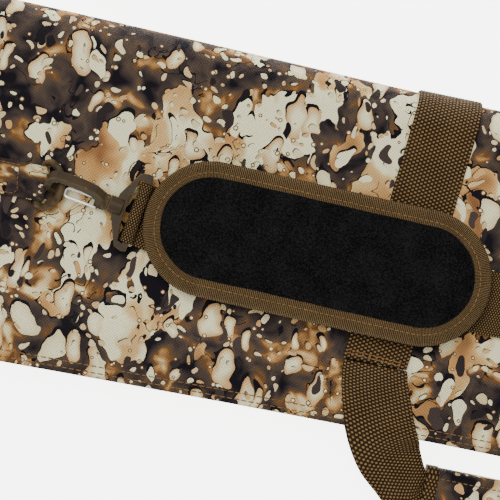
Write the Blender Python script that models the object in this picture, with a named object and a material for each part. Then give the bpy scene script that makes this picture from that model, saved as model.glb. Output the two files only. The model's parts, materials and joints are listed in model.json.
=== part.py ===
"""A long padded board bag, lying on its back: two padded shells that open like a book along a
folded edge, a zipper under the opposite hem, webbing carry handles with a grip wrap, and a
shoulder strap with a sliding pad, clipped to a ring at each end by a swivel snap hook.

Frame: +X along the bag, +Y towards the folded edge, +Z out of the front face. Z = 0 is what the
bag lies on, and the origin is under the middle of the plan box, grip included. The shapes are
worked out about the bag's waist line, which is PLAN_SHIFT from that origin."""

import math

import bmesh
import bpy
from mathutils import Matrix, Vector

# ---- driving dimensions, in metres ----
GAP = 0.0003                 # between pieces that touch
HALF_LENGTH = 0.800
PLAN_SHIFT = 0.035           # from the origin to the waist line, towards the folded edge
STRAIGHT_HALF = 0.660        # where the rounded ends begin
FOLD_HALF_WIDTH = 0.1255     # at the waist, on the folded side
FOLD_FLARE = 0.0095          # how much wider the folded side gets towards the ends
HEM_HALF_WIDTH = 0.1295      # at the waist, on the zipper side
HEM_FLARE = 0.0175
WEBBING_THICKNESS = 0.0018
WEBBING_WIDTH = 0.048
SHELL_HALF_HEIGHT = 0.030    # from the zipper's plane to the front face
FABRIC = 0.0015
FOAM = 0.008
LINING = 0.001
FLANGE = 0.014               # the flat hem that hides the zipper
FLANGE_HEIGHT = 0.009        # of the hem above the zipper's plane
FOLD_RADIUS = 0.030
HEM_RISE = 0.052             # run of the slope from the hem to the flat face
FOAM_START = 0.021           # from the hem's edge to the foam, past the zipper
OUTLINE_STRAIGHT = 12        # steps of the plan outline along each long side
OUTLINE_END = 10             # and round each end

BACK_FACE_Z = WEBBING_THICKNESS + GAP
MID_Z = BACK_FACE_Z + SHELL_HALF_HEIGHT
FACE_Z = MID_Z + SHELL_HALF_HEIGHT
HINGE_Y = FOLD_HALF_WIDTH + FOLD_FLARE + 0.0035

BAND_X_FOLD = 0.101          # centre of a carry band at the folded edge
BAND_X_STITCH = 0.118        # and at its cross stitch
STITCH_Y = -0.078
GRIP_HALF_LENGTH = 0.060
GRIP_NEAR_Y = -0.149
GRIP_FAR_Y = -0.205
GRIP_WALL = 0.0045
GRIP_HALF_HEIGHT = 0.0095

ZIP_Y = -(HEM_HALF_WIDTH - 0.013)
ZIP_STRAIGHT = 0.200         # half of the stretch where the sliders run
TAPE_THICKNESS = 0.0008
TAPE_HEIGHT = 0.0068
COIL_HALF = 0.0022
COIL_DEPTH = 0.0032
SLIDER_LENGTH = 0.013

STRAP_WIDTH = 0.0475
STRAP_Z = FACE_Z + GAP + WEBBING_THICKNESS + GAP + 0.0012 + GAP + WEBBING_THICKNESS / 2
BAR_LOOP = 0.0042            # radius of the webbing's middle line round a bar
BAR_X = 0.3125               # centre of a hook base's bar
BAR_Y = -0.0065
BAR_Z = STRAP_Z + BAR_LOOP
BASE_TURN = math.radians(9)
HOOK_ROLL = math.radians(55)
HOOK_RISE = math.radians(4)  # the hook leans up from its bar towards the ring
RING_X = 0.3864
RING_DEPTH = 0.0180          # from the straight bar's middle line to the bow's
RING_Y = 0.0005
RING_Z = FACE_Z + 0.0048
RING_TILT = math.radians(27)
ADJUSTER_X = 0.090
ADJUSTER_Z = STRAP_Z + WEBBING_THICKNESS / 2 + GAP + 0.0013

PAD_X = -0.1770
PAD_Y = -0.0085
PAD_TURN = math.radians(-1.06)
PAD_HALF_LENGTH = 0.1294
PAD_HALF_WIDTH = 0.0500
PAD_BINDING = 0.0130         # how far the binding reaches in from the pad's edge
PAD_SKIN = 0.0010
PAD_FOAM = 0.0070
KEEPER = 0.0010              # thickness of the pad's keeper loops
PAD_BOTTOM_Z = STRAP_Z + WEBBING_THICKNESS / 2 + GAP + KEEPER + GAP

# ---- small helpers ----


def material(name, colour, roughness, metallic=0.0):
    made = bpy.data.materials.new(name)
    made.use_nodes = True
    shader = made.node_tree.nodes["Principled BSDF"]
    shader.inputs["Base Color"].default_value = (*colour, 1.0)
    shader.inputs["Roughness"].default_value = roughness
    shader.inputs["Metallic"].default_value = metallic
    made.diffuse_color = (*colour, 1.0)
    return made


def place(name, mesh, look, matrix=None):
    """A new object from a bmesh, moved by matrix into the bag's frame, with its origin there."""
    bmesh.ops.recalc_face_normals(mesh, faces=mesh.faces)
    data = bpy.data.meshes.new(name)
    mesh.to_mesh(data)
    mesh.free()
    data.materials.append(look)
    made = bpy.data.objects.new(name, data)
    bpy.context.scene.collection.objects.link(made)
    if matrix is not None:
        made.matrix_world = matrix
    return made


def set_origin(made, point):
    """Moves an object's origin to point without moving its shape."""
    offset = made.matrix_world.inverted() @ Vector(point)
    made.data.transform(Matrix.Translation(-offset))
    made.matrix_world = made.matrix_world @ Matrix.Translation(offset)


def put(made, frame):
    """Moves a solid into frame, and turns its faces out again where the frame mirrors it."""
    made.data.transform(frame)
    if frame.determinant() < 0:
        made.data.flip_normals()
    return made


def bridge(mesh, loops, closed):
    """Quads between neighbouring rings of vertices; closed joins the last ring to the first."""
    pairs = zip(loops, loops[1:] + loops[:1]) if closed else zip(loops, loops[1:])
    for one, two in pairs:
        count = len(one)
        for i in range(count):
            j = (i + 1) % count
            mesh.faces.new((one[i], one[j], two[j], two[i]))


def sweep(rings, closed=False):
    """A solid from a row of equal rings of points, with flat ends, or closed on itself."""
    mesh = bmesh.new()
    loops = [[mesh.verts.new(p) for p in ring] for ring in rings]
    bridge(mesh, loops, closed)
    if not closed:
        mesh.faces.new(loops[0])
        mesh.faces.new(list(reversed(loops[-1])))
    return mesh


def ribbon(path, widths, sides, thickness, closed=False):
    """A flat strap along path. sides are its width directions; its normal follows from the path."""
    rings = []
    count = len(path)
    for i, point in enumerate(path):
        before = path[(i - 1) % count] if closed else path[max(i - 1, 0)]
        after = path[(i + 1) % count] if closed else path[min(i + 1, count - 1)]
        along = (Vector(after) - Vector(before)).normalized()
        side = Vector(sides[i]).normalized()
        normal = along.cross(side).normalized()
        half = side * widths[i] / 2
        up = normal * thickness / 2
        middle = Vector(point)
        rings.append([middle - half - up, middle + half - up, middle + half + up, middle - half + up])
    return sweep(rings, closed)


def rod(path, radius, sides=8, closed=False, across=(0, 0, 1)):
    """A round bar of constant radius along a flat path; across is the normal of the path's plane."""
    rings = []
    count = len(path)
    reference = Vector(across)
    for i, point in enumerate(path):
        before = path[(i - 1) % count] if closed else path[max(i - 1, 0)]
        after = path[(i + 1) % count] if closed else path[min(i + 1, count - 1)]
        along = (Vector(after) - Vector(before)).normalized()
        one = along.cross(reference).normalized()
        two = along.cross(one).normalized()
        turns = [2 * math.pi * (k + 0.5) / sides for k in range(sides)]
        rings.append([Vector(point) + (one * math.cos(t) + two * math.sin(t)) * radius for t in turns])
    return sweep(rings, closed)


def prism(outline, low, high, hole=None):
    """A plate from a flat outline between two heights, with a hole of as many points if given."""
    mesh = bmesh.new()
    edges = [[mesh.verts.new((x, y, z)) for x, y in outline] for z in (low, high)]
    if hole is None:
        bridge(mesh, edges, False)
        mesh.faces.new(edges[0])
        mesh.faces.new(list(reversed(edges[1])))
    else:
        inner = [[mesh.verts.new((x, y, z)) for x, y in hole] for z in (low, high)]
        bridge(mesh, [edges[0], edges[1], inner[1], inner[0]], True)
    return mesh


def box(low, high):
    outline = [(low[0], low[1]), (high[0], low[1]), (high[0], high[1]), (low[0], high[1])]
    return prism(outline, low[2], high[2])


def arc(centre, radius, start, end, steps):
    """Points on an arc in a plane, angles in degrees."""
    turns = [math.radians(start + (end - start) * i / steps) for i in range(steps + 1)]
    return [(centre[0] + radius * math.cos(t), centre[1] + radius * math.sin(t)) for t in turns]


def union(made, *others):
    """Joins other solids into made with Boolean unions, and removes them."""
    for other in others:
        joined = made.modifiers.new("join", "BOOLEAN")
        joined.operation = "UNION"
        joined.object = other
        other.hide_render = True
        other.display_type = "WIRE"
    return made


# ---- the shells ----


def fold_half_width(x):
    return FOLD_HALF_WIDTH + FOLD_FLARE * (1 - math.exp(-1.6 * (x / 0.4) ** 2))


def hem_half_width(x):
    return HEM_HALF_WIDTH + HEM_FLARE * (1 - math.exp(-0.43 * (x / 0.37) ** 2))


def plan_outline():
    """The bag's outline seen from the front: gently waisted sides and rounded ends."""
    straight, end = OUTLINE_STRAIGHT, OUTLINE_END
    points = []
    for i in range(straight):
        x = -STRAIGHT_HALF + 2 * STRAIGHT_HALF * i / straight
        points.append((x, -hem_half_width(x)))
    for side in (1, -1):
        for i in range(end):
            turn = math.pi * i / end - math.pi / 2
            away = abs(math.cos(turn)) ** 0.8
            across = side * math.copysign(abs(math.sin(turn)) ** 0.8, math.sin(turn))
            width = fold_half_width(STRAIGHT_HALF) if across > 0 else hem_half_width(STRAIGHT_HALF)
            points.append((side * (STRAIGHT_HALF + (HALF_LENGTH - STRAIGHT_HALF) * away), across * width))
        if side == 1:
            for i in range(straight):
                x = STRAIGHT_HALF - 2 * STRAIGHT_HALF * i / straight
                points.append((x, fold_half_width(x)))
    return points


def inward_normals(points):
    normals = []
    for i, point in enumerate(points):
        before, after = Vector(points[i - 1]), Vector(points[(i + 1) % len(points)])
        along = (after - before).normalized()
        normals.append(Vector((-along.y, along.x)))
    return normals


def smooth(value):
    value = min(max(value, 0.0), 1.0)
    return value * value * (3 - 2 * value)


def fold_profile(u):
    """Run and height of the rolled fold, and its inward direction, for u from 0 to 1."""
    turn = u * math.pi / 2
    run, height = FOLD_RADIUS * (1 - math.cos(turn)), SHELL_HALF_HEIGHT * math.sin(turn)
    return run, height, math.cos(turn), math.sin(turn)


def hem_height(run):
    rise = SHELL_HALF_HEIGHT - FLANGE_HEIGHT
    return FLANGE_HEIGHT + rise * smooth((run - FLANGE) / HEM_RISE)


def hem_profile(u, start):
    """The same for the hemmed side: a flat flange, then a slope up to the face."""
    run = start + (FLANGE + HEM_RISE - start) * u
    step = 0.0005
    slope = (hem_height(run + step) - hem_height(run - step)) / (2 * step)
    size = math.hypot(1, slope)
    return run, hem_height(run), slope / size, 1 / size


def layer_surface(depth, side, rings, start):
    """Rings of points on a surface at this depth below a shell's outer one, from its edge inwards.
    side is 1 for the front and -1 for the back. start is where it begins on the hemmed side."""
    outline = plan_outline()
    normals = inward_normals(outline)
    loops = []
    for ring in range(rings + 1):
        u = ring / rings
        loop = []
        for point, normal in zip(outline, normals):
            fold = smooth((-normal.y - 0.75) / 0.2)
            one, two = fold_profile(u), hem_profile(u, start)
            run, height, inward, down = (a * fold + b * (1 - fold) for a, b in zip(one, two))
            size = math.hypot(inward, down)
            level = max(height - depth * down / size, GAP / 2)
            flat = Vector(point) + normal * (run + depth * inward / size)
            loop.append(Vector((flat.x, flat.y, MID_Z + side * level)))
        loops.append(loop)
    return loops


def shell_layer(name, look, side, top, bottom, rings, start):
    """One layer of a padded shell, from depth top to depth bottom below the outer surface."""
    mesh = bmesh.new()
    surfaces = []
    for depth in (top, bottom):
        loops = [[mesh.verts.new(p) for p in loop] for loop in layer_surface(depth, side, rings, start)]
        bridge(mesh, loops, False)
        surfaces.append(loops)
    bridge(mesh, [surfaces[0][0], surfaces[1][0]], False)
    for loops in surfaces:
        mesh.faces.new(loops[-1])
    return place(name, mesh, look)


def foam_panels(word, side, top, bottom):
    """A shell's foam, cut as a flat panel for its face and five strips for its sloping edges."""
    outer, inner = (layer_surface(depth, side, 5, FOAM_START) for depth in (top, bottom))
    panel = [Vector(p[:2]) for p in outer[-1]]
    panel = [p + normal * GAP for p, normal in zip(panel, inward_normals(panel))]
    low, high = sorted((outer[-1][0].z, inner[-1][0].z))
    place(f"{word}_foam", prism(panel, low, high), FOAM_GREY)
    count = len(panel)
    half = count // 2
    waist = OUTLINE_STRAIGHT // 2
    strips = (("hem_left", 0, waist), ("hem_right", waist, OUTLINE_STRAIGHT), ("right_end", OUTLINE_STRAIGHT, half),
              ("fold_edge", half, half + OUTLINE_STRAIGHT), ("left_end", half + OUTLINE_STRAIGHT, count))
    for name, first, last in strips:
        rings = []
        for station in range(first, last + 1):
            ring = [loop[station % count] for loop in outer] + [loop[station % count] for loop in reversed(inner)]
            rings.append(ring)
        for end, neighbour in ((0, 1), (-1, -2)):
            share = GAP / (rings[neighbour][0] - rings[end][0]).length
            rings[end] = [p.lerp(q, share) for p, q in zip(rings[end], rings[neighbour])]
        place(f"{word}_foam_{name}", sweep(rings), FOAM_GREY)


def shells():
    foam_top = FABRIC + GAP
    lining_top = foam_top + FOAM + 3 * GAP
    for word, side in (("front", 1), ("back", -1)):
        shell_layer(f"{word}_shell", CAMO, side, 0, FABRIC, 7, 0)
        foam_panels(word, side, foam_top, foam_top + FOAM)
        shell_layer(f"{word}_lining", LINING_BLACK, side, lining_top, lining_top + LINING, 5, 0.034)


# ---- the zipper ----


def zip_path():
    """The U that the zipper follows: along the hem and round both ends, to near the fold."""
    outline = plan_outline()
    normals = inward_normals(outline)
    path = []
    for point, normal in zip(outline, normals):
        flat = Vector(point) + normal * 0.013
        if normal.y > -0.35:
            if flat.y < 0 and abs(flat.x) < ZIP_STRAIGHT + 0.05:
                flat.y = ZIP_Y
            path.append(flat)
    first = next(i for i, p in enumerate(path) if p.x < -STRAIGHT_HALF and p.y > 0)
    return path[first:] + path[:first]


def strip_along(name, look, depth, low, high):
    """An upright strip that follows the zipper's path, between two heights."""
    path = zip_path()
    rings = []
    for i, point in enumerate(path):
        along = (path[min(i + 1, len(path) - 1)] - path[max(i - 1, 0)]).normalized()
        out = Vector((along.y, -along.x)) * depth / 2
        one, two = point + out, point - out
        rings.append([(one.x, one.y, low), (two.x, two.y, low), (two.x, two.y, high), (one.x, one.y, high)])
    return place(name, sweep(rings), look)


def zipper():
    for word, side in (("front", 1), ("back", -1)):
        edges = sorted((MID_Z + side * (COIL_HALF + GAP * 1.5), MID_Z + side * (FLANGE_HEIGHT - FABRIC - GAP)))
        strip_along(f"{word}_zipper_tape", ZIP_BLACK, TAPE_THICKNESS, *edges)
        edges = sorted((MID_Z + side * GAP / 2, MID_Z + side * (COIL_HALF + GAP / 2)))
        strip_along(f"{word}_zipper_coil", ZIP_BLACK, COIL_DEPTH, *edges)
    for word, side in (("left", -1), ("right", 1)):
        slider(word, side)


def slider(word, side):
    """A slider round the back coil, open above so that the front coil can leave it."""
    centre = side * (0.004 + SLIDER_LENGTH / 2)
    half_gap = COIL_DEPTH / 2 + 0.0005
    wall = 0.0013
    low, high = MID_Z - 0.0052, MID_Z + 0.0045
    floor_top = MID_Z - COIL_HALF - 0.0010
    slot = TAPE_THICKNESS / 2 + 0.0005
    half = SLIDER_LENGTH / 2
    profile = [
        (-half_gap - wall, low), (-slot, low), (-slot, floor_top), (-half_gap, floor_top),
        (-half_gap, high), (-half_gap - wall, high),
    ]
    rings = []
    for x in (centre - half, centre + half):
        rings.append([(x, ZIP_Y + y, z) for y, z in profile])
    body = place(f"{word}_zipper_slider", sweep(rings), ZIP_METAL)
    crown_y = ZIP_Y - half_gap - wall
    arch = [(-0.0034, 0.0003), (-0.0034, -0.0032), (0.0034, -0.0032), (0.0034, 0.0003),
            (0.0022, 0.0003), (0.0022, -0.0022), (-0.0022, -0.0022), (-0.0022, 0.0003)]
    outline = [(centre + x, crown_y + y) for x, y in arch]
    crown = place(f"{word}_crown_guide", prism(outline, MID_Z - 0.0012, MID_Z + 0.0012), ZIP_METAL)
    union(body, crown)
    set_origin(body, (centre, ZIP_Y, MID_Z))
    # the pull's end bar turns under the crown's arch, and its blade lies along the zipper
    eye_y = crown_y - 0.0011
    outer = [(-0.0007, -0.0034), (0.0060, -0.0034), (0.0060, 0.0034), (-0.0007, 0.0034)]
    inner = [(0.0007, -0.0018), (0.0050, -0.0018), (0.0050, 0.0018), (0.0007, 0.0018)]
    tab = place(f"{word}_pull_tab", prism(outer, -0.0006, 0.0006, inner), ZIP_METAL)
    blade = place(f"{word}_blade_guide", box((0.0055, -0.0030, -0.0006), (0.0270, 0.0030, 0.0006)), ZIP_METAL)
    frame = Matrix(((side, 0, 0, centre), (0, 0, 1, eye_y), (0, 1, 0, MID_Z), (0, 0, 0, 1)))
    put(tab, frame)
    put(blade, frame)
    union(tab, blade)
    set_origin(tab, (centre, eye_y, MID_Z))


# ---- carry bands and handles ----


def band_x(y, side):
    """A carry band slants a little: its centre line at height y."""
    share = (y - STITCH_Y) / (FOLD_HALF_WIDTH - STITCH_Y)
    return side * (BAND_X_STITCH + (BAND_X_FOLD - BAND_X_STITCH) * share)


def carry_band(word, side, half, sign):
    """Webbing sewn over the shell from the fold's middle to the cross stitch."""
    lift = GAP + WEBBING_THICKNESS / 2
    slack = 0.0009
    radius = FOLD_RADIUS + lift + slack
    path = []
    for i in range(7):
        turn = math.radians(0.8 + 77.2 * i / 6)
        y = fold_half_width(BAND_X_FOLD) + lift + slack - radius * (1 - math.cos(turn))
        path.append((band_x(y, side), y, MID_Z + sign * (radius * math.sin(turn))))
    for y in (0.085, 0.0, -0.058):
        path.append((band_x(y, side), y, MID_Z + sign * (SHELL_HALF_HEIGHT + lift)))
    for y in (-0.068, STITCH_Y):
        path.append((band_x(y, side), y, MID_Z + sign * (hem_height(hem_half_width(0.11) + y) + lift + slack)))
    sides = [(1, 0, 0)] * len(path)
    mesh = ribbon(path, [WEBBING_WIDTH] * len(path), sides, WEBBING_THICKNESS)
    place(f"{half}_band_{word}", mesh, WEBBING)


def handle_path(sign):
    """Half of a handle's centre line with its width and width direction, from stitch to grip."""
    lift = 0.0030
    plan = [(-0.1170, -0.0805), (-0.1150, -0.0900), (-0.1110, -0.1020), (-0.1060, -0.1170),
            (-0.1000, -0.1330), (-0.0910, -0.1490), (-0.0800, -0.1630), (-0.0700, -0.1725), (-0.0620, -0.1765)]
    widths = [0.0480, 0.0490, 0.0500, 0.0500, 0.0490, 0.0470, 0.0420, 0.0380, 0.0360]
    rest = 0.0021
    points = []
    for i, (x, y) in enumerate(plan):
        if y > -0.128:
            level = hem_height(hem_half_width(x) + y) + lift
        else:
            level = rest + (FLANGE_HEIGHT + lift - rest) * (1 - smooth((-0.128 - y) / 0.030))
        points.append((x, y, MID_Z + sign * level))
    return points, widths


def handle_webbing(word, sign):
    """The free loop of webbing between two cross stitches, narrowed where it enters the grip."""
    points, widths = handle_path(sign)
    middle = [(x, -0.177, points[-1][2]) for x in (-0.03, 0.0, 0.03)]
    mirrored = [(-x, y, z) for x, y, z in reversed(points)]
    path = points + middle + mirrored
    widths = widths + [0.036] * 3 + list(reversed(widths))
    sides = []
    for i, point in enumerate(path):
        before, after = path[max(i - 1, 0)], path[min(i + 1, len(path) - 1)]
        along = Vector((after[0] - before[0], after[1] - before[1], 0)).normalized()
        turn = smooth((-0.126 - point[1]) / 0.020)
        level = Vector((math.copysign(1.0, -along.y) if abs(along.y) > 0.5 else 0.0, 0, 0))
        sides.append(Vector((-along.y, along.x, 0)) * turn + level * (1 - turn))
    made = place(f"{word}_handle", ribbon(path, widths, sides, WEBBING_THICKNESS), WEBBING)
    set_origin(made, (0, STITCH_Y, points[0][2]))


def grip_wrap():
    """A padded sleeve round the front handle, open below where the back handle lies in it."""
    low, high = MID_Z - GRIP_HALF_HEIGHT, MID_Z + GRIP_HALF_HEIGHT
    near, far = GRIP_NEAR_Y, GRIP_FAR_Y
    profile = [(near, low), (near, high), (far, high), (far, low), (far + GRIP_WALL, low),
               (far + GRIP_WALL, high - GRIP_WALL), (near - GRIP_WALL, high - GRIP_WALL), (near - GRIP_WALL, low)]
    rings = [[(x, y, z) for y, z in profile] for x in (-GRIP_HALF_LENGTH, GRIP_HALF_LENGTH)]
    made = place("grip_wrap", sweep(rings), CAMO)
    set_origin(made, (0, STITCH_Y, handle_path(1)[0][0][2]))


def handles():
    for word, side in (("left", -1), ("right", 1)):
        carry_band(word, side, "front", 1)
        carry_band(word, side, "back", -1)
    handle_webbing("front", 1)
    handle_webbing("back", -1)
    grip_wrap()


# ---- rings, hooks and strap ----


def ring_and_tab(word, side):
    """A D-ring, its straight bar held in a folded fabric tab, and its bow tilted up."""
    radius = 0.0027
    half = 0.0170
    turns = [math.radians(a) for a in (12, 35, 58, 78, 90, 102, 122, 145, 168)]
    bow = [(0.0030 + (RING_DEPTH - 0.0030) * math.sin(t), half * math.cos(t), 0) for t in turns]
    path = [(0, -0.008, 0), (0, 0.008, 0), (0.0008, half - 0.0015, 0)] + bow + [(0.0008, -half + 0.0015, 0)]
    ring = place(f"{word}_d_ring", rod(path, radius, 8, True), BROWN_PLASTIC)
    centre = Vector((-RING_X, RING_Y, RING_Z))
    tilt = Matrix.Rotation(-RING_TILT, 4, "Y")
    mirror = Matrix.Diagonal((-side, 1, 1, 1))
    put(ring, mirror @ Matrix.Translation(centre) @ tilt)
    set_origin(ring, (side * RING_X, RING_Y, RING_Z))
    # the tab: a strip folded round the bar, both ends stitched to the shell
    thick = 0.0014
    loop = radius + 0.0004 + thick / 2
    low = FACE_Z + GAP + thick / 2 - RING_Z
    path = [(-0.062, low), (-0.012, low)]
    path += [(x, z) for x, z in arc((0, 0), loop, -90, 90, 8)]
    path += [(-0.006, loop - 0.0004), (-0.012, low + thick + GAP + 0.0012), (-0.016, low + thick + GAP),
             (-0.060, low + thick + GAP)]
    path = [(x, 0, z) for x, z in path]
    strip = ribbon(path, [0.0260] * len(path), [(0, 1, 0)] * len(path), thick)
    put(place(f"{word}_ring_tab", strip, CAMO), mirror @ Matrix.Translation(centre))


def base_plate(word, side):
    """The hook's base: a slotted triangle of plastic with a barrel for the hook's shank."""
    half_depth = 0.0022
    arm = 0.0289
    outer = [(-0.0022, -arm), (-0.0022, -0.0270), (-0.0022, 0.0270), (-0.0022, arm), (0.0015, arm + 0.0010),
             (0.0072, arm - 0.0005), (0.0125, 0.0175), (0.0165, 0.0090), (0.0165, -0.0090), (0.0125, -0.0175),
             (0.0072, 0.0005 - arm), (0.0015, -arm - 0.0010)]
    slot = STRAP_WIDTH / 2 + 0.0007
    hole = [(0.0020, -slot + 0.0003), (0.0020, -0.0200), (0.0020, 0.0200), (0.0020, slot - 0.0003),
            (0.0024, slot), (0.0062, slot - 0.0010), (0.0085, 0.0110), (0.0090, 0.0060), (0.0090, -0.0060),
            (0.0085, -0.0110), (0.0062, 0.0010 - slot), (0.0024, -slot)]
    made = place(f"{word}_hook_base", prism(outer, -half_depth, half_depth, hole), BROWN_PLASTIC)
    barrel = place(f"{word}_barrel_guide", tube(0.0116, 0.0216, 0.0062), BROWN_PLASTIC)
    bore = place(f"{word}_bore_guide", tube(0.0140, 0.0240, 0.0035), BROWN_PLASTIC)
    frame = hardware_frame(side)
    for solid in (made, barrel, bore):
        put(solid, frame)
    union(made, barrel)
    cut = made.modifiers.new("bore", "BOOLEAN")
    cut.operation = "DIFFERENCE"
    cut.object = bore
    bore.hide_render = True
    bore.display_type = "WIRE"
    set_origin(made, frame @ Vector((0, 0, 0)))


def hardware_frame(side):
    """Frame of a hook and its base: origin on the bar's centre, +X along the swivel's axis."""
    mirror = Matrix.Diagonal((-side, 1, 1, 1))
    turn = Matrix.Rotation(math.pi - BASE_TURN, 4, "Z")
    flip = Matrix.Rotation(math.pi, 4, "X")
    rise = Matrix.Rotation(HOOK_RISE, 4, "Y")
    return mirror @ Matrix.Translation((-BAR_X, BAR_Y, BAR_Z)) @ turn @ flip @ rise


def tube(start, end, radius):
    """A plain round bar along X."""
    sides = 16
    turns = [2 * math.pi * k / sides for k in range(sides)]
    rings = [[(x, radius * math.cos(t), radius * math.sin(t)) for t in turns] for x in (start, end)]
    return sweep(rings)


def hook_line():
    """The hook's middle line with its width: shank, bowed spine, round curl, short nose."""
    points = [(0.0255, 0.0000), (0.0290, 0.0038), (0.0345, 0.0076), (0.0450, 0.0092), (0.0540, 0.0093)]
    points += arc((0.0590, 0.0), 0.0092, 84, -78, 8) + [(0.0570, -0.0093)]
    widths = [0.0080, 0.0070, 0.0060, 0.0054, 0.0052] + [0.0050] * 8 + [0.0044, 0.0036]
    return points, widths


def hook_body(word, side):
    """The snap hook: a shank in the barrel, a bowed spine, a curl and a blunt nose."""
    line, widths = hook_line()
    rings = []
    half_depth = 0.0036
    for i, (x, y) in enumerate(line):
        before, after = line[max(i - 1, 0)], line[min(i + 1, len(line) - 1)]
        along = Vector((after[0] - before[0], after[1] - before[1])).normalized()
        across = Vector((-along.y, along.x)) * widths[i] / 2
        one, two = Vector((x, y)) + across, Vector((x, y)) - across
        rings.append([(one.x, one.y, -half_depth), (two.x, two.y, -half_depth),
                      (two.x, two.y, half_depth), (one.x, one.y, half_depth)])
    made = place(f"{word}_hook", sweep(rings), BROWN_PLASTIC)
    collar = place(f"{word}_collar_guide", tube(0.0222, 0.0262, 0.0058), BROWN_PLASTIC)
    shank = place(f"{word}_shank_guide", tube(0.0146, 0.0230, 0.0031), BROWN_PLASTIC)
    heel = [(0.0245, 0.003), (0.0245, -0.0075), (0.0320, -0.0075), (0.0320, -0.0045), (0.0300, 0.0035)]
    heel = place(f"{word}_heel_guide", prism(heel, -0.0030, 0.0030), BROWN_PLASTIC)
    frame = hardware_frame(side) @ Matrix.Rotation(-HOOK_ROLL, 4, "X")
    for solid in (made, collar, shank, heel):
        put(solid, frame)
    union(made, collar, shank, heel)
    set_origin(made, frame @ Vector((0.022, 0, 0)))


def hook_gate(word, side):
    """A wire gate: two legs and the crossbar that joins them inside the nose."""
    radius = 0.0008
    half = 0.0040
    pivot = (0.0300, -0.0060)
    tip = (0.0548, -0.0064)
    path = [(pivot[0], pivot[1], half), (tip[0] - 0.003, tip[1], half), (tip[0] - 0.0005, tip[1], half - 0.001),
            (tip[0], tip[1], half - 0.0025), (tip[0], tip[1], 0), (tip[0], tip[1], -half + 0.0025),
            (tip[0] - 0.0005, tip[1], -half + 0.001), (tip[0] - 0.003, tip[1], -half), (pivot[0], pivot[1], -half)]
    rings = rod(path, radius, 6, False, (0, 1, 0))
    made = place(f"{word}_hook_gate", rings, STEEL)
    frame = hardware_frame(side) @ Matrix.Rotation(-HOOK_ROLL, 4, "X")
    put(made, frame)
    set_origin(made, frame @ Vector((pivot[0], pivot[1], 0)))


def round_bar(centre, outward, radius, start, end, steps):
    """Points on the webbing's middle line round a bar, angles in degrees from the bag's middle."""
    points = []
    for i in range(steps + 1):
        turn = math.radians(start + (end - start) * i / steps)
        points.append(Vector(centre) - outward * math.cos(turn) * radius + Vector((0, 0, radius * math.sin(turn))))
    return points


def strap():
    """The strap: looped round the left bar, flat along the bag, round the right bar, and back
    over itself to the adjuster's middle bar."""
    path, sides, widths = [], [], []

    def lay(points, side, width):
        for point in points:
            path.append(tuple(point))
            sides.append(side)
            widths.append(width)

    outward = Vector((-math.cos(BASE_TURN), math.sin(BASE_TURN), 0))
    across = (math.sin(BASE_TURN), math.cos(BASE_TURN), 0)
    narrow = STRAP_WIDTH - 0.0015
    lay(round_bar((-BAR_X, BAR_Y, BAR_Z), outward, BAR_LOOP, -5, 270, 11), across, narrow)
    plan = [(-0.2960, -0.0090), (-0.2600, -0.0120), (-0.1800, -0.0160), (-0.0900, -0.0180), (-0.0300, -0.0180),
            (0.0500, -0.0170), (0.1400, -0.0140), (0.2300, -0.0110), (0.2960, -0.0090)]
    lay([(x, y, STRAP_Z) for x, y in plan], (0, 1, 0), STRAP_WIDTH)
    outward = Vector((math.cos(BASE_TURN), math.sin(BASE_TURN), 0))
    across = (-math.sin(BASE_TURN), math.cos(BASE_TURN), 0)
    lay(round_bar((BAR_X, BAR_Y, BAR_Z), outward, BAR_LOOP, 270, 75, 8), across, narrow)
    high = STRAP_Z + WEBBING_THICKNESS + 2 * GAP
    back = [(0.3000, -0.0085, STRAP_Z + 0.0052), (0.2860, -0.0092, high), (0.2300, -0.0110, high),
            (0.1400, -0.0140, high), (ADJUSTER_X + 0.0290, -0.0145, high),
            (ADJUSTER_X + 0.0190, -0.0147, ADJUSTER_Z + 0.0034), (ADJUSTER_X + 0.0110, -0.0149, ADJUSTER_Z + 0.0034),
            (ADJUSTER_X + 0.0040, -0.0150, ADJUSTER_Z + 0.0034)]
    lay(back, (0, 1, 0), STRAP_WIDTH)
    lay(round_bar((ADJUSTER_X, -0.0150, ADJUSTER_Z), Vector((-1, 0, 0)), 0.0032, 75, 190, 4), (0, 1, 0), STRAP_WIDTH)
    place("shoulder_strap", ribbon(path, widths, sides, WEBBING_THICKNESS), WEBBING)


def adjuster():
    """A three-bar slide that lies on the strap; the strap's end goes round its middle bar."""
    half_depth, bar = 0.0013, 0.0015
    length, width, slot = 0.0165, 0.0300, STRAP_WIDTH / 2 + 0.0008
    made = place("strap_adjuster", box((-length, -width, -half_depth), (length, width, half_depth)), BROWN_PLASTIC)
    guides = []
    for word, low, high in (("near", -length + 2 * bar, -bar), ("far", bar, length - 2 * bar)):
        solid = box((low, -slot, -2 * half_depth), (high, slot, 2 * half_depth))
        guides.append(place(f"{word}_slot_guide", solid, BROWN_PLASTIC))
    for guide in guides:
        cut = made.modifiers.new("slot", "BOOLEAN")
        cut.operation = "DIFFERENCE"
        cut.object = guide
        guide.hide_render = True
        guide.display_type = "WIRE"
    for solid in (made, *guides):
        solid.location = (ADJUSTER_X, -0.0150, ADJUSTER_Z)


# ---- the shoulder pad ----


def stadium(half_length, half_width, steps=10):
    """A long oval with round ends, flattened a little on its sides."""
    centre = half_length - half_width
    points = arc((centre, 0), half_width, -90, 90, steps) + arc((-centre, 0), half_width, 90, 270, steps)
    return points


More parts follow.
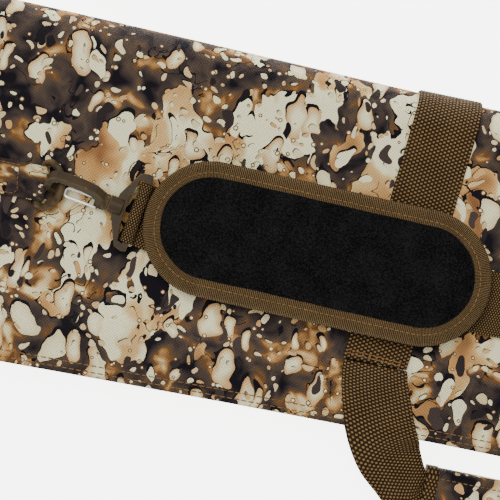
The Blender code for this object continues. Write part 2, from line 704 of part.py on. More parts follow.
def pad():
    frame = Matrix.Translation((PAD_X, PAD_Y, 0)) @ Matrix.Rotation(PAD_TURN, 4, "Z")
    inner = PAD_BINDING
    wall = 0.0012
    low = PAD_BOTTOM_Z
    skin_top = low + wall + GAP + PAD_SKIN
    foam_top = skin_top + GAP + PAD_FOAM
    top = foam_top + GAP + PAD_SKIN
    edge = wall + GAP

    def slab(name, look, reach, bottom, ceiling):
        outline = stadium(PAD_HALF_LENGTH - reach, PAD_HALF_WIDTH - reach)
        return put(place(name, prism(outline, bottom, ceiling), look), frame)

    slab("pad_backing", BINDING, edge, low + wall + GAP, skin_top)
    slab("pad_foam", FOAM_GREY, edge, skin_top + GAP, foam_top)
    slab("pad_cover", NEOPRENE, edge, foam_top + GAP, top)
    # the binding: a tape folded round the pad's edge, open towards its middle
    levels = [(inner, low), (0.0, low), (0.0, top + GAP + wall), (inner, top + GAP + wall),
              (inner, top + GAP), (wall, top + GAP), (wall, low + wall), (inner, low + wall)]
    mesh = bmesh.new()
    loops = []
    for reach, height in levels:
        outline = stadium(PAD_HALF_LENGTH - reach, PAD_HALF_WIDTH - reach)
        loops.append([mesh.verts.new((x, y, height)) for x, y in outline])
    bridge(mesh, loops, True)
    put(place("pad_binding", mesh, BINDING), frame)
    # the keepers: bands across the pad's back that hold it on the strap
    for word, x in (("left", -0.066), ("right", 0.066)):
        half, middle = 0.0275, -0.0065
        under = STRAP_Z - WEBBING_THICKNESS / 2 - GAP - KEEPER
        above = PAD_BOTTOM_Z + wall
        y_low, y_high = middle - half, middle + half
        profile = [(y_low, under), (y_high, under), (y_high, above), (y_high - KEEPER, above),
                   (y_high - KEEPER, under + KEEPER), (y_low + KEEPER, under + KEEPER), (y_low + KEEPER, above),
                   (y_low, above)]
        rings = [[(x + step, y, z) for y, z in profile] for step in (-0.0125, 0.0125)]
        put(place(f"pad_keeper_{word}", sweep(rings), WEBBING), frame)


# ---- build ----

for old in list(bpy.data.objects):
    bpy.data.objects.remove(old)

CAMO = material("printed_fabric", (0.30, 0.24, 0.18), 0.85)
WEBBING = material("brown_webbing", (0.13, 0.09, 0.045), 0.8)
FOAM_GREY = material("foam", (0.25, 0.25, 0.25), 0.95)
LINING_BLACK = material("lining", (0.03, 0.03, 0.03), 0.8)
ZIP_BLACK = material("zipper_black", (0.02, 0.02, 0.02), 0.5)
ZIP_METAL = material("zipper_metal", (0.10, 0.09, 0.08), 0.4, 0.8)
BROWN_PLASTIC = material("brown_plastic", (0.12, 0.09, 0.06), 0.45)
STEEL = material("steel_wire", (0.75, 0.73, 0.70), 0.25, 1.0)
BINDING = material("binding_tape", (0.17, 0.12, 0.06), 0.8)
NEOPRENE = material("black_neoprene", (0.012, 0.012, 0.012), 0.95)

shells()
zipper()
handles()
for word, side in (("left", -1), ("right", 1)):
    ring_and_tab(word, side)
    base_plate(word, side)
    hook_body(word, side)
    hook_gate(word, side)
strap()
adjuster()
pad()

# ---- the frame: from the waist line to the middle of the plan box ----
for made in bpy.context.scene.objects:
    made.location.y += PLAN_SHIFT
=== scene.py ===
"""The looks of a long padded board bag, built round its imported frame.

Lengths are in metres. Shapes are worked out about the bag's waist line, and solid() moves each one
to its place in the frame. Cloth and webbing carry a point attribute, WOVEN, that says how far each
point is along and across its own strip, so a weave or a print follows the cloth round every fold."""

import json
from math import copysign, cos, exp, hypot, pi, radians, sin, sqrt

import bmesh
import bpy
import numpy as np
from mathutils import Matrix, Vector, noise


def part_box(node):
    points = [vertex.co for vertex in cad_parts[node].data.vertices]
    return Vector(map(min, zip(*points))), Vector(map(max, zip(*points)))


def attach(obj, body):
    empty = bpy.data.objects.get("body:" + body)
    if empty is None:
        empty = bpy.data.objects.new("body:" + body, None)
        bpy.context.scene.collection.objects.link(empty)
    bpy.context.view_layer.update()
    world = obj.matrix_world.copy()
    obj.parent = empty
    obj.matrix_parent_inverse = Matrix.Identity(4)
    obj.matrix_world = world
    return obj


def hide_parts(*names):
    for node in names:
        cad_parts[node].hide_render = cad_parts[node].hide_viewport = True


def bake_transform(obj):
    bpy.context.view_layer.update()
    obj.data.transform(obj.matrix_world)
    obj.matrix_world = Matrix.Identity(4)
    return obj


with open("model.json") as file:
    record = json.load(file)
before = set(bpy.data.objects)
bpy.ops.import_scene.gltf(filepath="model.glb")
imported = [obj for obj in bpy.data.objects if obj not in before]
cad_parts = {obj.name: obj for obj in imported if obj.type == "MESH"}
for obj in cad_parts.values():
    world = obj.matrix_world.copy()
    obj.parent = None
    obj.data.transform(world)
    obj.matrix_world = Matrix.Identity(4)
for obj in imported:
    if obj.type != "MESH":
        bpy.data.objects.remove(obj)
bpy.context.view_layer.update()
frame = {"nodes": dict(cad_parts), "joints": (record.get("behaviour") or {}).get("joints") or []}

# ---- sizes that the frame gives ----
SHELL_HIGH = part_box("front_shell")[1]
HINGE = Vector(next(joint["pos_m"] for joint in frame["joints"] if joint["name"] == "front_opening"))
MID_Z = HINGE.z
FACE_Z = SHELL_HIGH.z
HALF_LENGTH = SHELL_HIGH.x
SHELL_HALF_HEIGHT = FACE_Z - MID_Z
WAIST_Y = HINGE.y - 0.1385          # the waist line, from the fold's hinge

# ---- the design's own sizes, as the frame was drawn ----
GAP = 0.0003
STRAIGHT_HALF = 0.660
FOLD_HALF_WIDTH, FOLD_FLARE = 0.1255, 0.0095
HEM_HALF_WIDTH, HEM_FLARE = 0.1295, 0.0175
FLANGE, FLANGE_HEIGHT, HEM_RISE = 0.014, 0.009, 0.052
FOLD_RADIUS = 0.030
COVER, COVER_SAG = 0.0013, 0.0012
FOAM_START, FOAM_OUTER, FOAM_INNER = 0.021, 0.0034, 0.0098
LINING_START, LINING_DEPTH, LINING, LINING_SAG = 0.032, 0.0107, 0.0008, 0.0006
WEBBING, WEBBING_WIDTH = 0.0018, 0.048
BAND_X_FOLD, BAND_X_STITCH, STITCH_Y = 0.101, 0.118, -0.078
ZIP_INSET = 0.013
STRAP_WIDTH = 0.0475
STRAP_Z = FACE_Z + 0.0048
BAR_LOOP = 0.0042
BAR = Vector((0.3125, -0.0065, STRAP_Z + BAR_LOOP))
BASE_TURN, HOOK_ROLL, HOOK_RISE = radians(9), radians(55), radians(4)
RING = Vector((0.3864, 0.0005, FACE_Z + 0.0048))
RING_DEPTH, RING_HALF, RING_RADIUS, RING_TILT = 0.0180, 0.0170, 0.0027, radians(27)
ADJUSTER_X, ADJUSTER_Z = 0.090, STRAP_Z + 0.0025
PAD_HALF_LENGTH, PAD_HALF_WIDTH = 0.1294, 0.0500
PAD_LOW, PAD_HIGH = (corner.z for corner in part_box("pad_binding"))
PAD_PLACE = Matrix.Translation((-0.1770, -0.0085, 0)) @ Matrix.Rotation(radians(-1.06), 4, "Z")
WOVEN = "woven"
SIDES = (("left", -1), ("right", 1))
HALVES = (("front", 1, "front"), ("back", -1, "root"))

# ---- node trees ----


def linear(colour):
    """A colour written as six hex digits, as the shader's linear values."""
    values = [int(colour[i:i + 2], 16) / 255 for i in (0, 2, 4)]
    return (*(v / 12.92 if v <= 0.04045 else ((v + 0.055) / 1.055) ** 2.4 for v in values), 1.0)


class Look:
    """A material under construction. Values may be numbers, colours or other nodes' outputs."""

    def __init__(self, name):
        self.material = bpy.data.materials.new(name)
        self.material.use_nodes = True
        self.tree = self.material.node_tree
        self.shader = self.tree.nodes["Principled BSDF"]

    def put(self, socket, value):
        if isinstance(value, bpy.types.NodeSocket):
            self.tree.links.new(value, socket)
        else:
            socket.default_value = value

    def outputs(self, kind, settings=None, inputs=None):
        made = self.tree.nodes.new("ShaderNode" + kind)
        for key, value in (settings or {}).items():
            setattr(made, key, value)
        for key, value in (inputs or {}).items():
            self.put(made.inputs[key], value)
        return made.outputs

    def node(self, kind, settings=None, inputs=None, out=0):
        return self.outputs(kind, settings, inputs)[out]

    def maths(self, operation, a, b=0.0, c=0.0):
        return self.node("Math", {"operation": operation}, {0: a, 1: b, 2: c})

    def times(self, a, b):
        return self.maths("MULTIPLY", a, b)

    def scaled(self, a, size, shift):
        return self.maths("MULTIPLY_ADD", a, size, shift)

    def swayed(self, value, by, size):
        """value, raised and lowered by a noise."""
        return self.scaled(self.maths("SUBTRACT", by, 0.5), size, value)

    def vector(self, operation, a, b):
        return self.node("VectorMath", {"operation": operation}, {0: a, 1: b})

    def mapped(self, place, turn, scale):
        """A place turned by this many degrees, then squeezed."""
        return self.node("Mapping", None, {0: place, 2: (0, 0, radians(turn)), 3: scale})

    def mix(self, share, a, b, kind="MIX"):
        return self.node("Mix", {"data_type": "RGBA", "blend_type": kind}, {0: share, 6: a, 7: b}, 2)

    def shade(self, lit, low, high, dark, light):
        """From dark where lit is low to light where it is high."""
        return self.mix(self.above(lit, low, high), linear(dark), linear(light))

    def here(self):
        """A point's own place, in metres."""
        return self.node("TexCoord", None, None, 3)

    def noise(self, place, size, detail=2.0, rough=0.5, out=0):
        """Noise whose features are about size metres across."""
        inputs = {"Vector": place, "Scale": 1 / size, "Detail": detail, "Roughness": rough}
        return self.node("TexNoise", None, inputs, out)

    def above(self, value, low, high):
        """0 below low, 1 above high, and a straight ramp between them."""
        inputs = {"Value": value, "From Min": low, "From Max": high, "To Min": 0.0, "To Max": 1.0}
        return self.node("MapRange", {"clamp": True}, inputs)

    def ramp(self, value, stops):
        made = self.tree.nodes.new("ShaderNodeValToRGB")
        self.put(made.inputs[0], value)
        marks = made.color_ramp.elements
        while len(marks) < len(stops):
            marks.new(0.5)
        for mark, (place, colour) in zip(marks, stops):
            mark.position = place
            mark.color = linear(colour)
        return made.outputs[0]

    def woven(self):
        """A point's place in its strip, and how far along and across that is, in metres."""
        place = self.node("Attribute", {"attribute_name": WOVEN}, None, 1)
        parts = self.outputs("SeparateXYZ", None, {0: place})
        return place, parts[0], parts[1]

    def wave(self, value, pitch, phase=0.0):
        """A sine of this pitch, from 0 to 1."""
        turn = self.scaled(value, 2 * pi / pitch, phase)
        return self.scaled(self.maths("SINE", turn), 0.5, 0.5)

    def finish(self, colour, rough, height=None, depth=0.0, gloss=0.08, metallic=0.0):
        values = {"Base Color": colour, "Roughness": rough, "Metallic": metallic, "Specular IOR Level": gloss}
        if height is not None:
            values["Normal"] = self.node("Bump", None, {"Strength": 1.0, "Distance": depth, "Height": height})
        for key, value in values.items():
            self.put(self.shader.inputs[key], value)
        return self.material


def oxford(look, along, across, pitch):
    """A plain weave's height, from 0 to 1: its two yarns come up in turn."""
    one = look.wave(along, pitch)
    two = look.wave(across, pitch, pi / 2)
    return look.maths("ABSOLUTE", look.maths("SUBTRACT", one, two))


def printed_fabric():
    """A coarse plain weave with an abstract print: pebbles, bubbles and blurred stains."""
    look = Look("printed_fabric")
    place, along, across = look.woven()
    coal, bark, cream, tan, rust = (linear(c) for c in ("121016", "453a35", "e6e1b6", "bd9058", "6b4a2c"))
    sway = look.vector("SUBTRACT", look.noise(place, 0.034, 2.0, 0.55, 1), (0.5, 0.5, 0.5))
    sway = look.node("VectorMath", {"operation": "SCALE"}, {0: sway, "Scale": 0.030})
    bent = look.vector("ADD", place, sway)
    turned = look.mapped(bent, 24, (1.0, 0.52, 1.0))
    zone = look.noise(place, 0.135, 1.0)
    spread = look.noise(turned, 0.030, 3.0, 0.5)
    field = look.scaled(zone, 1.15, look.times(spread, 0.85))
    light = look.above(field, 1.076, 1.082)
    # the dark ground, with blurred warm stains, and the light one
    stain = look.noise(look.vector("ADD", bent, (3.1, 1.7, 0.4)), 0.026, 2.5, 0.55)
    dark = look.ramp(stain, [(0.36, "141116"), (0.45, "362d2a"), (0.54, "4c3f34"), (0.59, "664526"),
                             (0.65, "b08550"), (0.71, "dccf9e")])
    warm = look.noise(look.vector("ADD", turned, (0.7, 5.2, 1.9)), 0.040, 2.0)
    pale = look.ramp(warm, [(0.32, "7a5334"), (0.42, "b38550"), (0.50, "ccab72"), (0.55, "e6e1b6")])
    colour = look.mix(light, dark, pale)
    # thin black outlines, where the ground changes and along some contours
    rim = look.maths("COMPARE", field, 1.074, 0.0075)
    contour = look.maths("COMPARE", look.noise(bent, 0.013, 1.0), 0.5, 0.014)
    for line, size, low, high in ((rim, 0.016, 0.50, 0.52), (contour, 0.030, 0.56, 0.57)):
        some = look.above(look.noise(place, size, 1.0), low, high)
        colour = look.mix(look.times(line, some), colour, coal)

    def pebbles(colour, room, size, least, most, share, fill, rim, drop, shift):
        """Rounded spots, one in some cells of this size, each with a dark crescent beside it."""
        spots = []
        for step in (0.0, drop):
            moved = look.vector("ADD", room, (shift + step, shift - step, 0))
            settings = {"feature": "F1", "voronoi_dimensions": "2D"}
            cell = look.outputs("TexVoronoi", settings, {"Vector": moved, "Scale": 1 / size})
            chance = look.outputs("SeparateColor", None, {0: cell["Color"]})
            reach = look.scaled(chance[0], most - least, least)
            inside = look.maths("LESS_THAN", cell["Distance"], reach)
            spot = look.times(inside, look.maths("LESS_THAN", chance[1], share))
            spots.append((spot, chance[2], cell["Distance"], reach))
        colour = look.mix(look.times(spots[1][0], rim), colour, coal)
        return look.mix(spots[0][0], colour, fill(spots[0]))

    def pebble_fill(spot):
        rim_tint_and_highlight = look.above(look.maths("DIVIDE", spot[2], spot[3]), 0.35, 1.0)
        return look.mix(look.times(rim_tint_and_highlight, look.above(spot[1], 0.20, 0.45)), cream, tan)

    stretched = look.mapped(bent, 16, (1.0, 0.55, 1.0))
    # pebbles, bubbles, dark spots and small rings
    for row in ((stretched, 0.0180, 0.14, 0.50, 0.58, pebble_fill, 1.0, 0.0012, 0.0),
                (bent, 0.0075, 0.10, 0.42, 0.40, lambda s: look.mix(s[1], cream, tan), 0.8, 0.0007, 0.31),
                (stretched, 0.0110, 0.10, 0.38, 0.22, lambda s: look.mix(s[1], bark, coal), 0.0, 0.0, 0.77),
                (place, 0.0120, 0.10, 0.17, 0.26, lambda s: rust, 1.0, 0.0, 0.53),
                (place, 0.0120, 0.04, 0.10, 0.26, lambda s: cream, 0.0, 0.0, 0.53)):
        colour = pebbles(colour, *row)
    # the weave paints a little shade on its low yarns and a little light on its high ones over the print, and gives
    # it its tooth
    weave = oxford(look, along, across, 0.0025)
    shade = look.scaled(weave, 0.42, 0.70)
    weave_light_and_shade = look.node("CombineColor", None, {0: shade, 1: shade, 2: shade})
    fuzz = look.scaled(look.noise(place, 0.0009, 1.0), 0.16, 0.92)
    return look.finish(look.mix(1.0, colour, weave_light_and_shade, "MULTIPLY"), look.times(fuzz, 0.86), weave, 0.00040)


def webbing_look(name, dark, highlight, pitch, rib, share):
    """Coarse webbing: lengthwise ribs, each a row of yarn crossings with a painted highlight on each raised crossing.
    """
    look = Look(name)
    place, along, across = look.woven()
    column = look.maths("FLOOR", look.maths("DIVIDE", across, rib))
    crossing = look.wave(along, pitch, look.times(column, pi))
    ridge = look.maths("ABSOLUTE", look.maths("SINE", look.times(across, pi / rib)))
    spot = look.times(crossing, look.maths("POWER", ridge, 0.7))
    lit = look.swayed(spot, look.noise(place, 0.0008), 0.35)
    lit = look.swayed(lit, look.noise(place, 0.020, 1.0), 0.25)
    # painted highlight on the raised crossings, over the webbing's dark brown between them
    return look.finish(look.shade(lit, share, share + 0.42, dark, highlight), 0.82, spot, 0.0007)


def binding_tape():
    """Grosgrain tape: close ribs across its run, painted lighter on the ribs, with painted shade in the gaps between
    them.
    """
    look = Look("binding_tape")
    place, along, across = look.woven()
    rib = look.wave(along, 0.00135)
    lit = look.swayed(rib, look.noise(place, 0.0009), 0.5)
    lit = look.swayed(lit, look.noise(place, 0.015, 1.0), 0.3)
    lit = look.scaled(look.wave(across, 0.0011), 0.35, lit)
    return look.finish(look.shade(lit, 0.42, 1.12, "1b1309", "6a5537"), 0.78, rib, 0.0004)


def neoprene():
    """A fine black knit: tiny loops and a dusty bloom."""
    look = Look("black_neoprene")
    place = look.here()
    loops = look.noise(place, 0.0011, 2.0, 0.7)
    lit = look.swayed(loops, look.noise(place, 0.020), 0.25)
    return look.finish(look.shade(lit, 0.40, 0.75, "040404", "1d1d1e"), 0.95, loops, 0.0003, 0.05)


def foam_look():
    look = Look("foam")
    place = look.here()
    cells = look.node("TexVoronoi", None, {"Vector": place, "Scale": 700.0})
    colour = look.mix(look.times(cells, 0.8), linear("77797c"), linear("5c5e61"))
    colour = look.mix(look.above(look.noise(place, 0.03), 0.4, 0.8), colour, linear("6d6f70"))
    return look.finish(colour, 0.95, cells, 0.0004)


def cloth_look(name, dark, light, pitch, rough):
    """A plain dark woven cloth, such as lining or zipper tape."""
    look = Look(name)
    place, along, across = look.woven()
    weave = oxford(look, along, across, pitch)
    lit = look.swayed(weave, look.noise(place, 0.02), 0.5)
    # painted light on the weave's high yarns and painted shade on its low ones
    return look.finish(look.shade(lit, 0.1, 1.0, dark, light), rough, weave, 0.0002)


def plastic_look(name, dark, light, rough, grain):
    """Moulded plastic: a fine grain, faint clouding, and a painted highlight in patches along its sharper edges."""
    look = Look(name)
    place = look.here()
    fine = look.noise(place, grain)
    cloud = look.noise(place, 0.008)
    # painted highlight: sharp edges, in patches, turn towards a pale brown
    edge = look.node("NewGeometry", None, None, 7)
    rim_tint_and_highlight = look.times(look.above(edge, 0.515, 0.56), look.above(cloud, 0.35, 0.6))
    colour = look.shade(look.scaled(cloud, 0.8, look.times(fine, 0.2)), 0.3, 0.8, dark, light)
    colour = look.mix(look.times(rim_tint_and_highlight, 0.6), colour, linear("77603c"))
    return look.finish(colour, look.scaled(cloud, 0.15, rough), fine, 0.00012, 0.22)


def metal_look(name, dark, light, rough, metallic):
    look = Look(name)
    place = look.here()
    grain = look.noise(look.mapped(place, 0, (1.0, 6.0, 6.0)), 0.004, 3.0)
    colour = look.shade(look.noise(place, 0.005), 0.35, 0.75, dark, light)
    return look.finish(colour, look.scaled(grain, 0.2, rough), grain, 0.00005, 0.5, metallic)


def thread_look(name, dark, light):
    """Twisted thread: a slanting ply along each stitch."""
    look = Look(name)
    place = look.here()
    parts = look.outputs("SeparateXYZ", None, {0: place})
    ply = look.wave(look.maths("ADD", look.maths("ADD", parts[0], parts[1]), parts[2]), 0.0009)
    lit = look.scaled(look.noise(place, 0.01, 1.0), 0.6, look.times(ply, 0.5))
    # random tone, with painted light on the ply's crowns and painted shade in the grooves between them
    return look.finish(look.shade(lit, 0.2, 0.9, dark, light), 0.6, ply, 0.0002)


# ---- making meshes ----


def placed(name, data):
    made = bpy.data.objects.new(name, data)
    bpy.context.scene.collection.objects.link(made)
    return made


def tidied(data, reach=0.0):
    """Turn a mesh's faces out, and make one of points that are nearer than reach."""
    mesh = bmesh.new()
    mesh.from_mesh(data)
    if reach:
        bmesh.ops.remove_doubles(mesh, verts=mesh.verts, dist=reach)
    bmesh.ops.recalc_face_normals(mesh, faces=mesh.faces)
    mesh.to_mesh(data)
    mesh.free()
    data.shade_smooth()


def solid(name, points, faces, look, woven=None):
    """An object from points about the waist line, moved to the frame."""
    data = bpy.data.meshes.new(name)
    data.from_pydata([(p[0], p[1] + WAIST_Y, p[2]) for p in points], [], faces)
    data.materials.append(look)
    if woven is not None:
        store = data.attributes.new(WOVEN, "FLOAT_VECTOR", "POINT")
        store.data.foreach_set("vector", np.array(woven, np.float32).ravel())
    tidied(data)
    return placed(name, data)


def applied(made):
    """made with what its modifiers do as its own mesh."""
    graph = bpy.context.evaluated_depsgraph_get()
    fresh = bpy.data.meshes.new_from_object(made.evaluated_get(graph))
    made.modifiers.clear()
    made.data = fresh
    return made


def changed(made, kind, **settings):
    """made with one modifier applied to its mesh."""
    modifier = made.modifiers.new(kind.lower(), kind)
    for key, value in settings.items():
        setattr(modifier, key, value)
    return applied(made)


def quads(one, two, closed=True):
    """Faces between two rows of point numbers."""
    count = len(one)
    steps = range(count if closed else count - 1)
    return [(one[i], one[(i + 1) % count], two[(i + 1) % count], two[i]) for i in steps]


def tube_faces(rings, around, closed=False):
    """Quads for rings of points around a path, closed on itself or capped at both ends."""
    rows = [range(i * around, (i + 1) * around) for i in range(rings)]
    following = rows[1:] + rows[:1] if closed else rows[1:]
    faces = [face for one, two in zip(rows, following) for face in quads(one, two)]
    return faces if closed else faces + [tuple(rows[0]), tuple(reversed(rows[-1]))]


def smooth(value):
    value = min(max(value, 0.0), 1.0)
    return value * value * (3 - 2 * value)


def arc(centre, radius, start, end, steps):
    turns = [radians(start + (end - start) * i / steps) for i in range(steps + 1)]
    return [(centre[0] + radius * cos(t), centre[1] + radius * sin(t)) for t in turns]


def unit(rows):
    """Each row of an array, divided by its length."""
    return rows / np.linalg.norm(rows, axis=1)[:, None]


def along_curve(points, spacing):
    """Evenly spaced points on a smooth curve through the given ones, their place in the list,
    and the distance run."""
    given = np.array(points, float)
    ends = np.vstack([2 * given[0] - given[1], given, 2 * given[-1] - given[-2]])
    fine, share = [], []
    for i in range(len(given) - 1):
        a, b, c, d = ends[i:i + 4]
        for t in np.linspace(0, 1, 16, endpoint=False):
            curve = 2 * b + (c - a) * t + (2 * a - 5 * b + 4 * c - d) * t ** 2
            fine.append(0.5 * (curve + (3 * b - a - 3 * c + d) * t ** 3))
            share.append(i + t)
    fine.append(given[-1])
    share.append(len(given) - 1)
    fine = np.array(fine)
    length = np.concatenate([[0], np.cumsum(np.linalg.norm(np.diff(fine, axis=0), axis=1))])
    at = np.linspace(0, length[-1], max(int(length[-1] / spacing), 2) + 1)
    centre = np.column_stack([np.interp(at, length, fine[:, k]) for k in range(3)])
    return centre, np.interp(at, length, share), at


def strap(name, path, widths, sides, look, thickness=WEBBING, ribs=19, spacing=0.004, begin=0.0):
    """Flat webbing along a path, with rounded edges and a rib for each column of its weave. Its widths
    and the directions across it are given for each point, or once for them all."""
    centre, share, run = along_curve(path, spacing)
    count = len(path)
    index, sides = np.arange(count), np.broadcast_to(sides, (count, 3))
    width = np.interp(share, index, np.broadcast_to(widths, count))
    side = unit(np.column_stack([np.interp(share, index, sides[:, k]) for k in range(3)]))
    normal = unit(np.cross(np.gradient(centre, axis=0), side))
    steps, rounding, valley = ribs * 2, 0.018, 0.13         # as shares of the width and the thickness
    section = []
    for face in (1, -1):
        for k in range(steps + 1):
            place = k / steps - 0.5
            edge = max(abs(place) - 0.5 + rounding, 0.0) / rounding
            level = 0.5 * sqrt(max(1 - edge * edge, 0.04)) - (0.0 if k % 2 else valley)
            section.append((place * face, level * face))
    points, woven = [], []
    for c, w, s, n, r in zip(centre, width, side, normal, run):
        for place, level in section:
            points.append(c + s * place * w + n * level * thickness)
            woven.append((begin + r, (place + 0.5) * WEBBING_WIDTH, 0.0))
    return solid(name, points, tube_faces(len(centre), len(section)), look, woven)


def bar_along(path, radius, across, around, closed=False):
    """Points and faces of a round bar along a path; across is a direction out of its plane."""
    points = []
    count = len(path)
    reference = Vector(across)
    for i, point in enumerate(path):
        before = path[(i - 1) % count] if closed else path[max(i - 1, 0)]
        after = path[(i + 1) % count] if closed else path[min(i + 1, count - 1)]
        run = (Vector(after) - Vector(before)).normalized()
        one = run.cross(reference).normalized()
        two = run.cross(one).normalized()
        size = radius[i] if isinstance(radius, (list, tuple)) else radius
        for k in range(around):
            turn = 2 * pi * k / around
            points.append(Vector(point) + one * cos(turn) * size + two * sin(turn) * size)
    return points, tube_faces(count, around, closed)


def stitches(name, body, slot, path, look, pitch, length, radius, up=1):
    """A row of stitches along a path, on cloth that faces up (1) or down (-1) and rides on a body;
    each is a thread that dips at both ends."""
    centre = along_curve(path, pitch)[0]
    up = Vector((0, 0, up))
    shape = ((0.0, -0.6), (0.12, 0.35), (0.35, 0.8), (0.65, 0.8), (0.88, 0.35), (1.0, -0.6))
    sizes = [radius * s for s in (0.5, 0.9, 1.0, 1.0, 0.9, 0.5)]
    points, faces = [], []
    for one, two in zip(centre[:-1], centre[1:]):
        one, two = Vector(one), Vector(two)
        along = (two - one).normalized()
        row = [one + along * length * t + up * height * radius for t, height in shape]
        new_points, new_faces = bar_along(row, sizes, up, 6)
        faces += [tuple(len(points) + k for k in face) for face in new_faces]
        points += new_points
    shown(solid(name, points, faces, look), body, slot)


CAMO = printed_fabric()
# each webbing's second colour is the painted highlight on its raised yarn crossings
WEB = webbing_look("brown_webbing", "22160a", "775f3d", 0.0029, WEBBING_WIDTH / 19, 0.34)
FINE_WEB = webbing_look("fine_webbing", "1e1409", "775f3d", 0.0020, STRAP_WIDTH / 28, 0.32)
TAPE = binding_tape()
NEOPRENE = neoprene()
FOAM_GREY = foam_look()
LINING_CLOTH = cloth_look("lining", "0c0c0d", "2c2c2e", 0.0016, 0.75)
ZIP_CLOTH = cloth_look("zipper_black", "0a0a0a", "232323", 0.0011, 0.7)
ZIP_METAL = metal_look("zipper_metal", "2b2825", "56504a", 0.35, 0.85)
PLASTIC = plastic_look("brown_plastic", "211706", "3a2a12", 0.45, 0.0006)
STEEL = metal_look("steel_wire", "f2f0ec", "ffffff", 0.25, 0.3)
TAN_THREAD = thread_look("tan_thread", "5a3f28", "967248")
COPPER_THREAD = thread_look("copper_thread", "5e4124", "98734a")


def shown(made, body, slot, *nodes):
    """made rides on body and stands for these nodes of the frame, which it hides. slot is not used."""
    if body:
        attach(made, body)
    if nodes:
        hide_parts(*nodes)
    return made


# ---- the shells: cover, foam and lining ----

STRAIGHT_STEPS, END_STEPS, END_COLUMNS = 220, 48, 14


def fold_half_width(x):
    return FOLD_HALF_WIDTH + FOLD_FLARE * (1 - exp(-1.6 * (x / 0.4) ** 2))


def hem_half_width(x):
    return HEM_HALF_WIDTH + HEM_FLARE * (1 - exp(-0.43 * (x / 0.37) ** 2))


def hem_height(run):
    return FLANGE_HEIGHT + (SHELL_HALF_HEIGHT - FLANGE_HEIGHT) * smooth((run - FLANGE) / HEM_RISE)


def hem_level(y, x=0.11):
    """How far the shell stands from the zipper's plane at a point near its hem."""
    return hem_height(hem_half_width(x) + y)


def plan_outline():
    """The bag's outline from the front: the hem, the right end, the fold, then the left end."""
    points = []
    for i in range(STRAIGHT_STEPS):
        x = -STRAIGHT_HALF + 2 * STRAIGHT_HALF * i / STRAIGHT_STEPS
        points.append((x, -hem_half_width(x)))
    for side in (1, -1):
        for i in range(END_STEPS):
            turn = pi * i / END_STEPS - pi / 2
            away = abs(cos(turn)) ** 0.8
            across = side * copysign(abs(sin(turn)) ** 0.8, sin(turn))
            width = fold_half_width(STRAIGHT_HALF) if across > 0 else hem_half_width(STRAIGHT_HALF)
            points.append((side * (STRAIGHT_HALF + (HALF_LENGTH - STRAIGHT_HALF) * away), across * width))
        if side == 1:
            for i in range(STRAIGHT_STEPS):
                x = STRAIGHT_HALF - 2 * STRAIGHT_HALF * i / STRAIGHT_STEPS
                points.append((x, fold_half_width(x)))
    normals = []
    for i, point in enumerate(points):
        run = Vector(points[(i + 1) % len(points)]) - Vector(points[i - 1])
        normals.append(Vector((-run.y, run.x)).normalized())
    return [Vector(p) for p in points], normals


OUTLINE, INWARD = plan_outline()


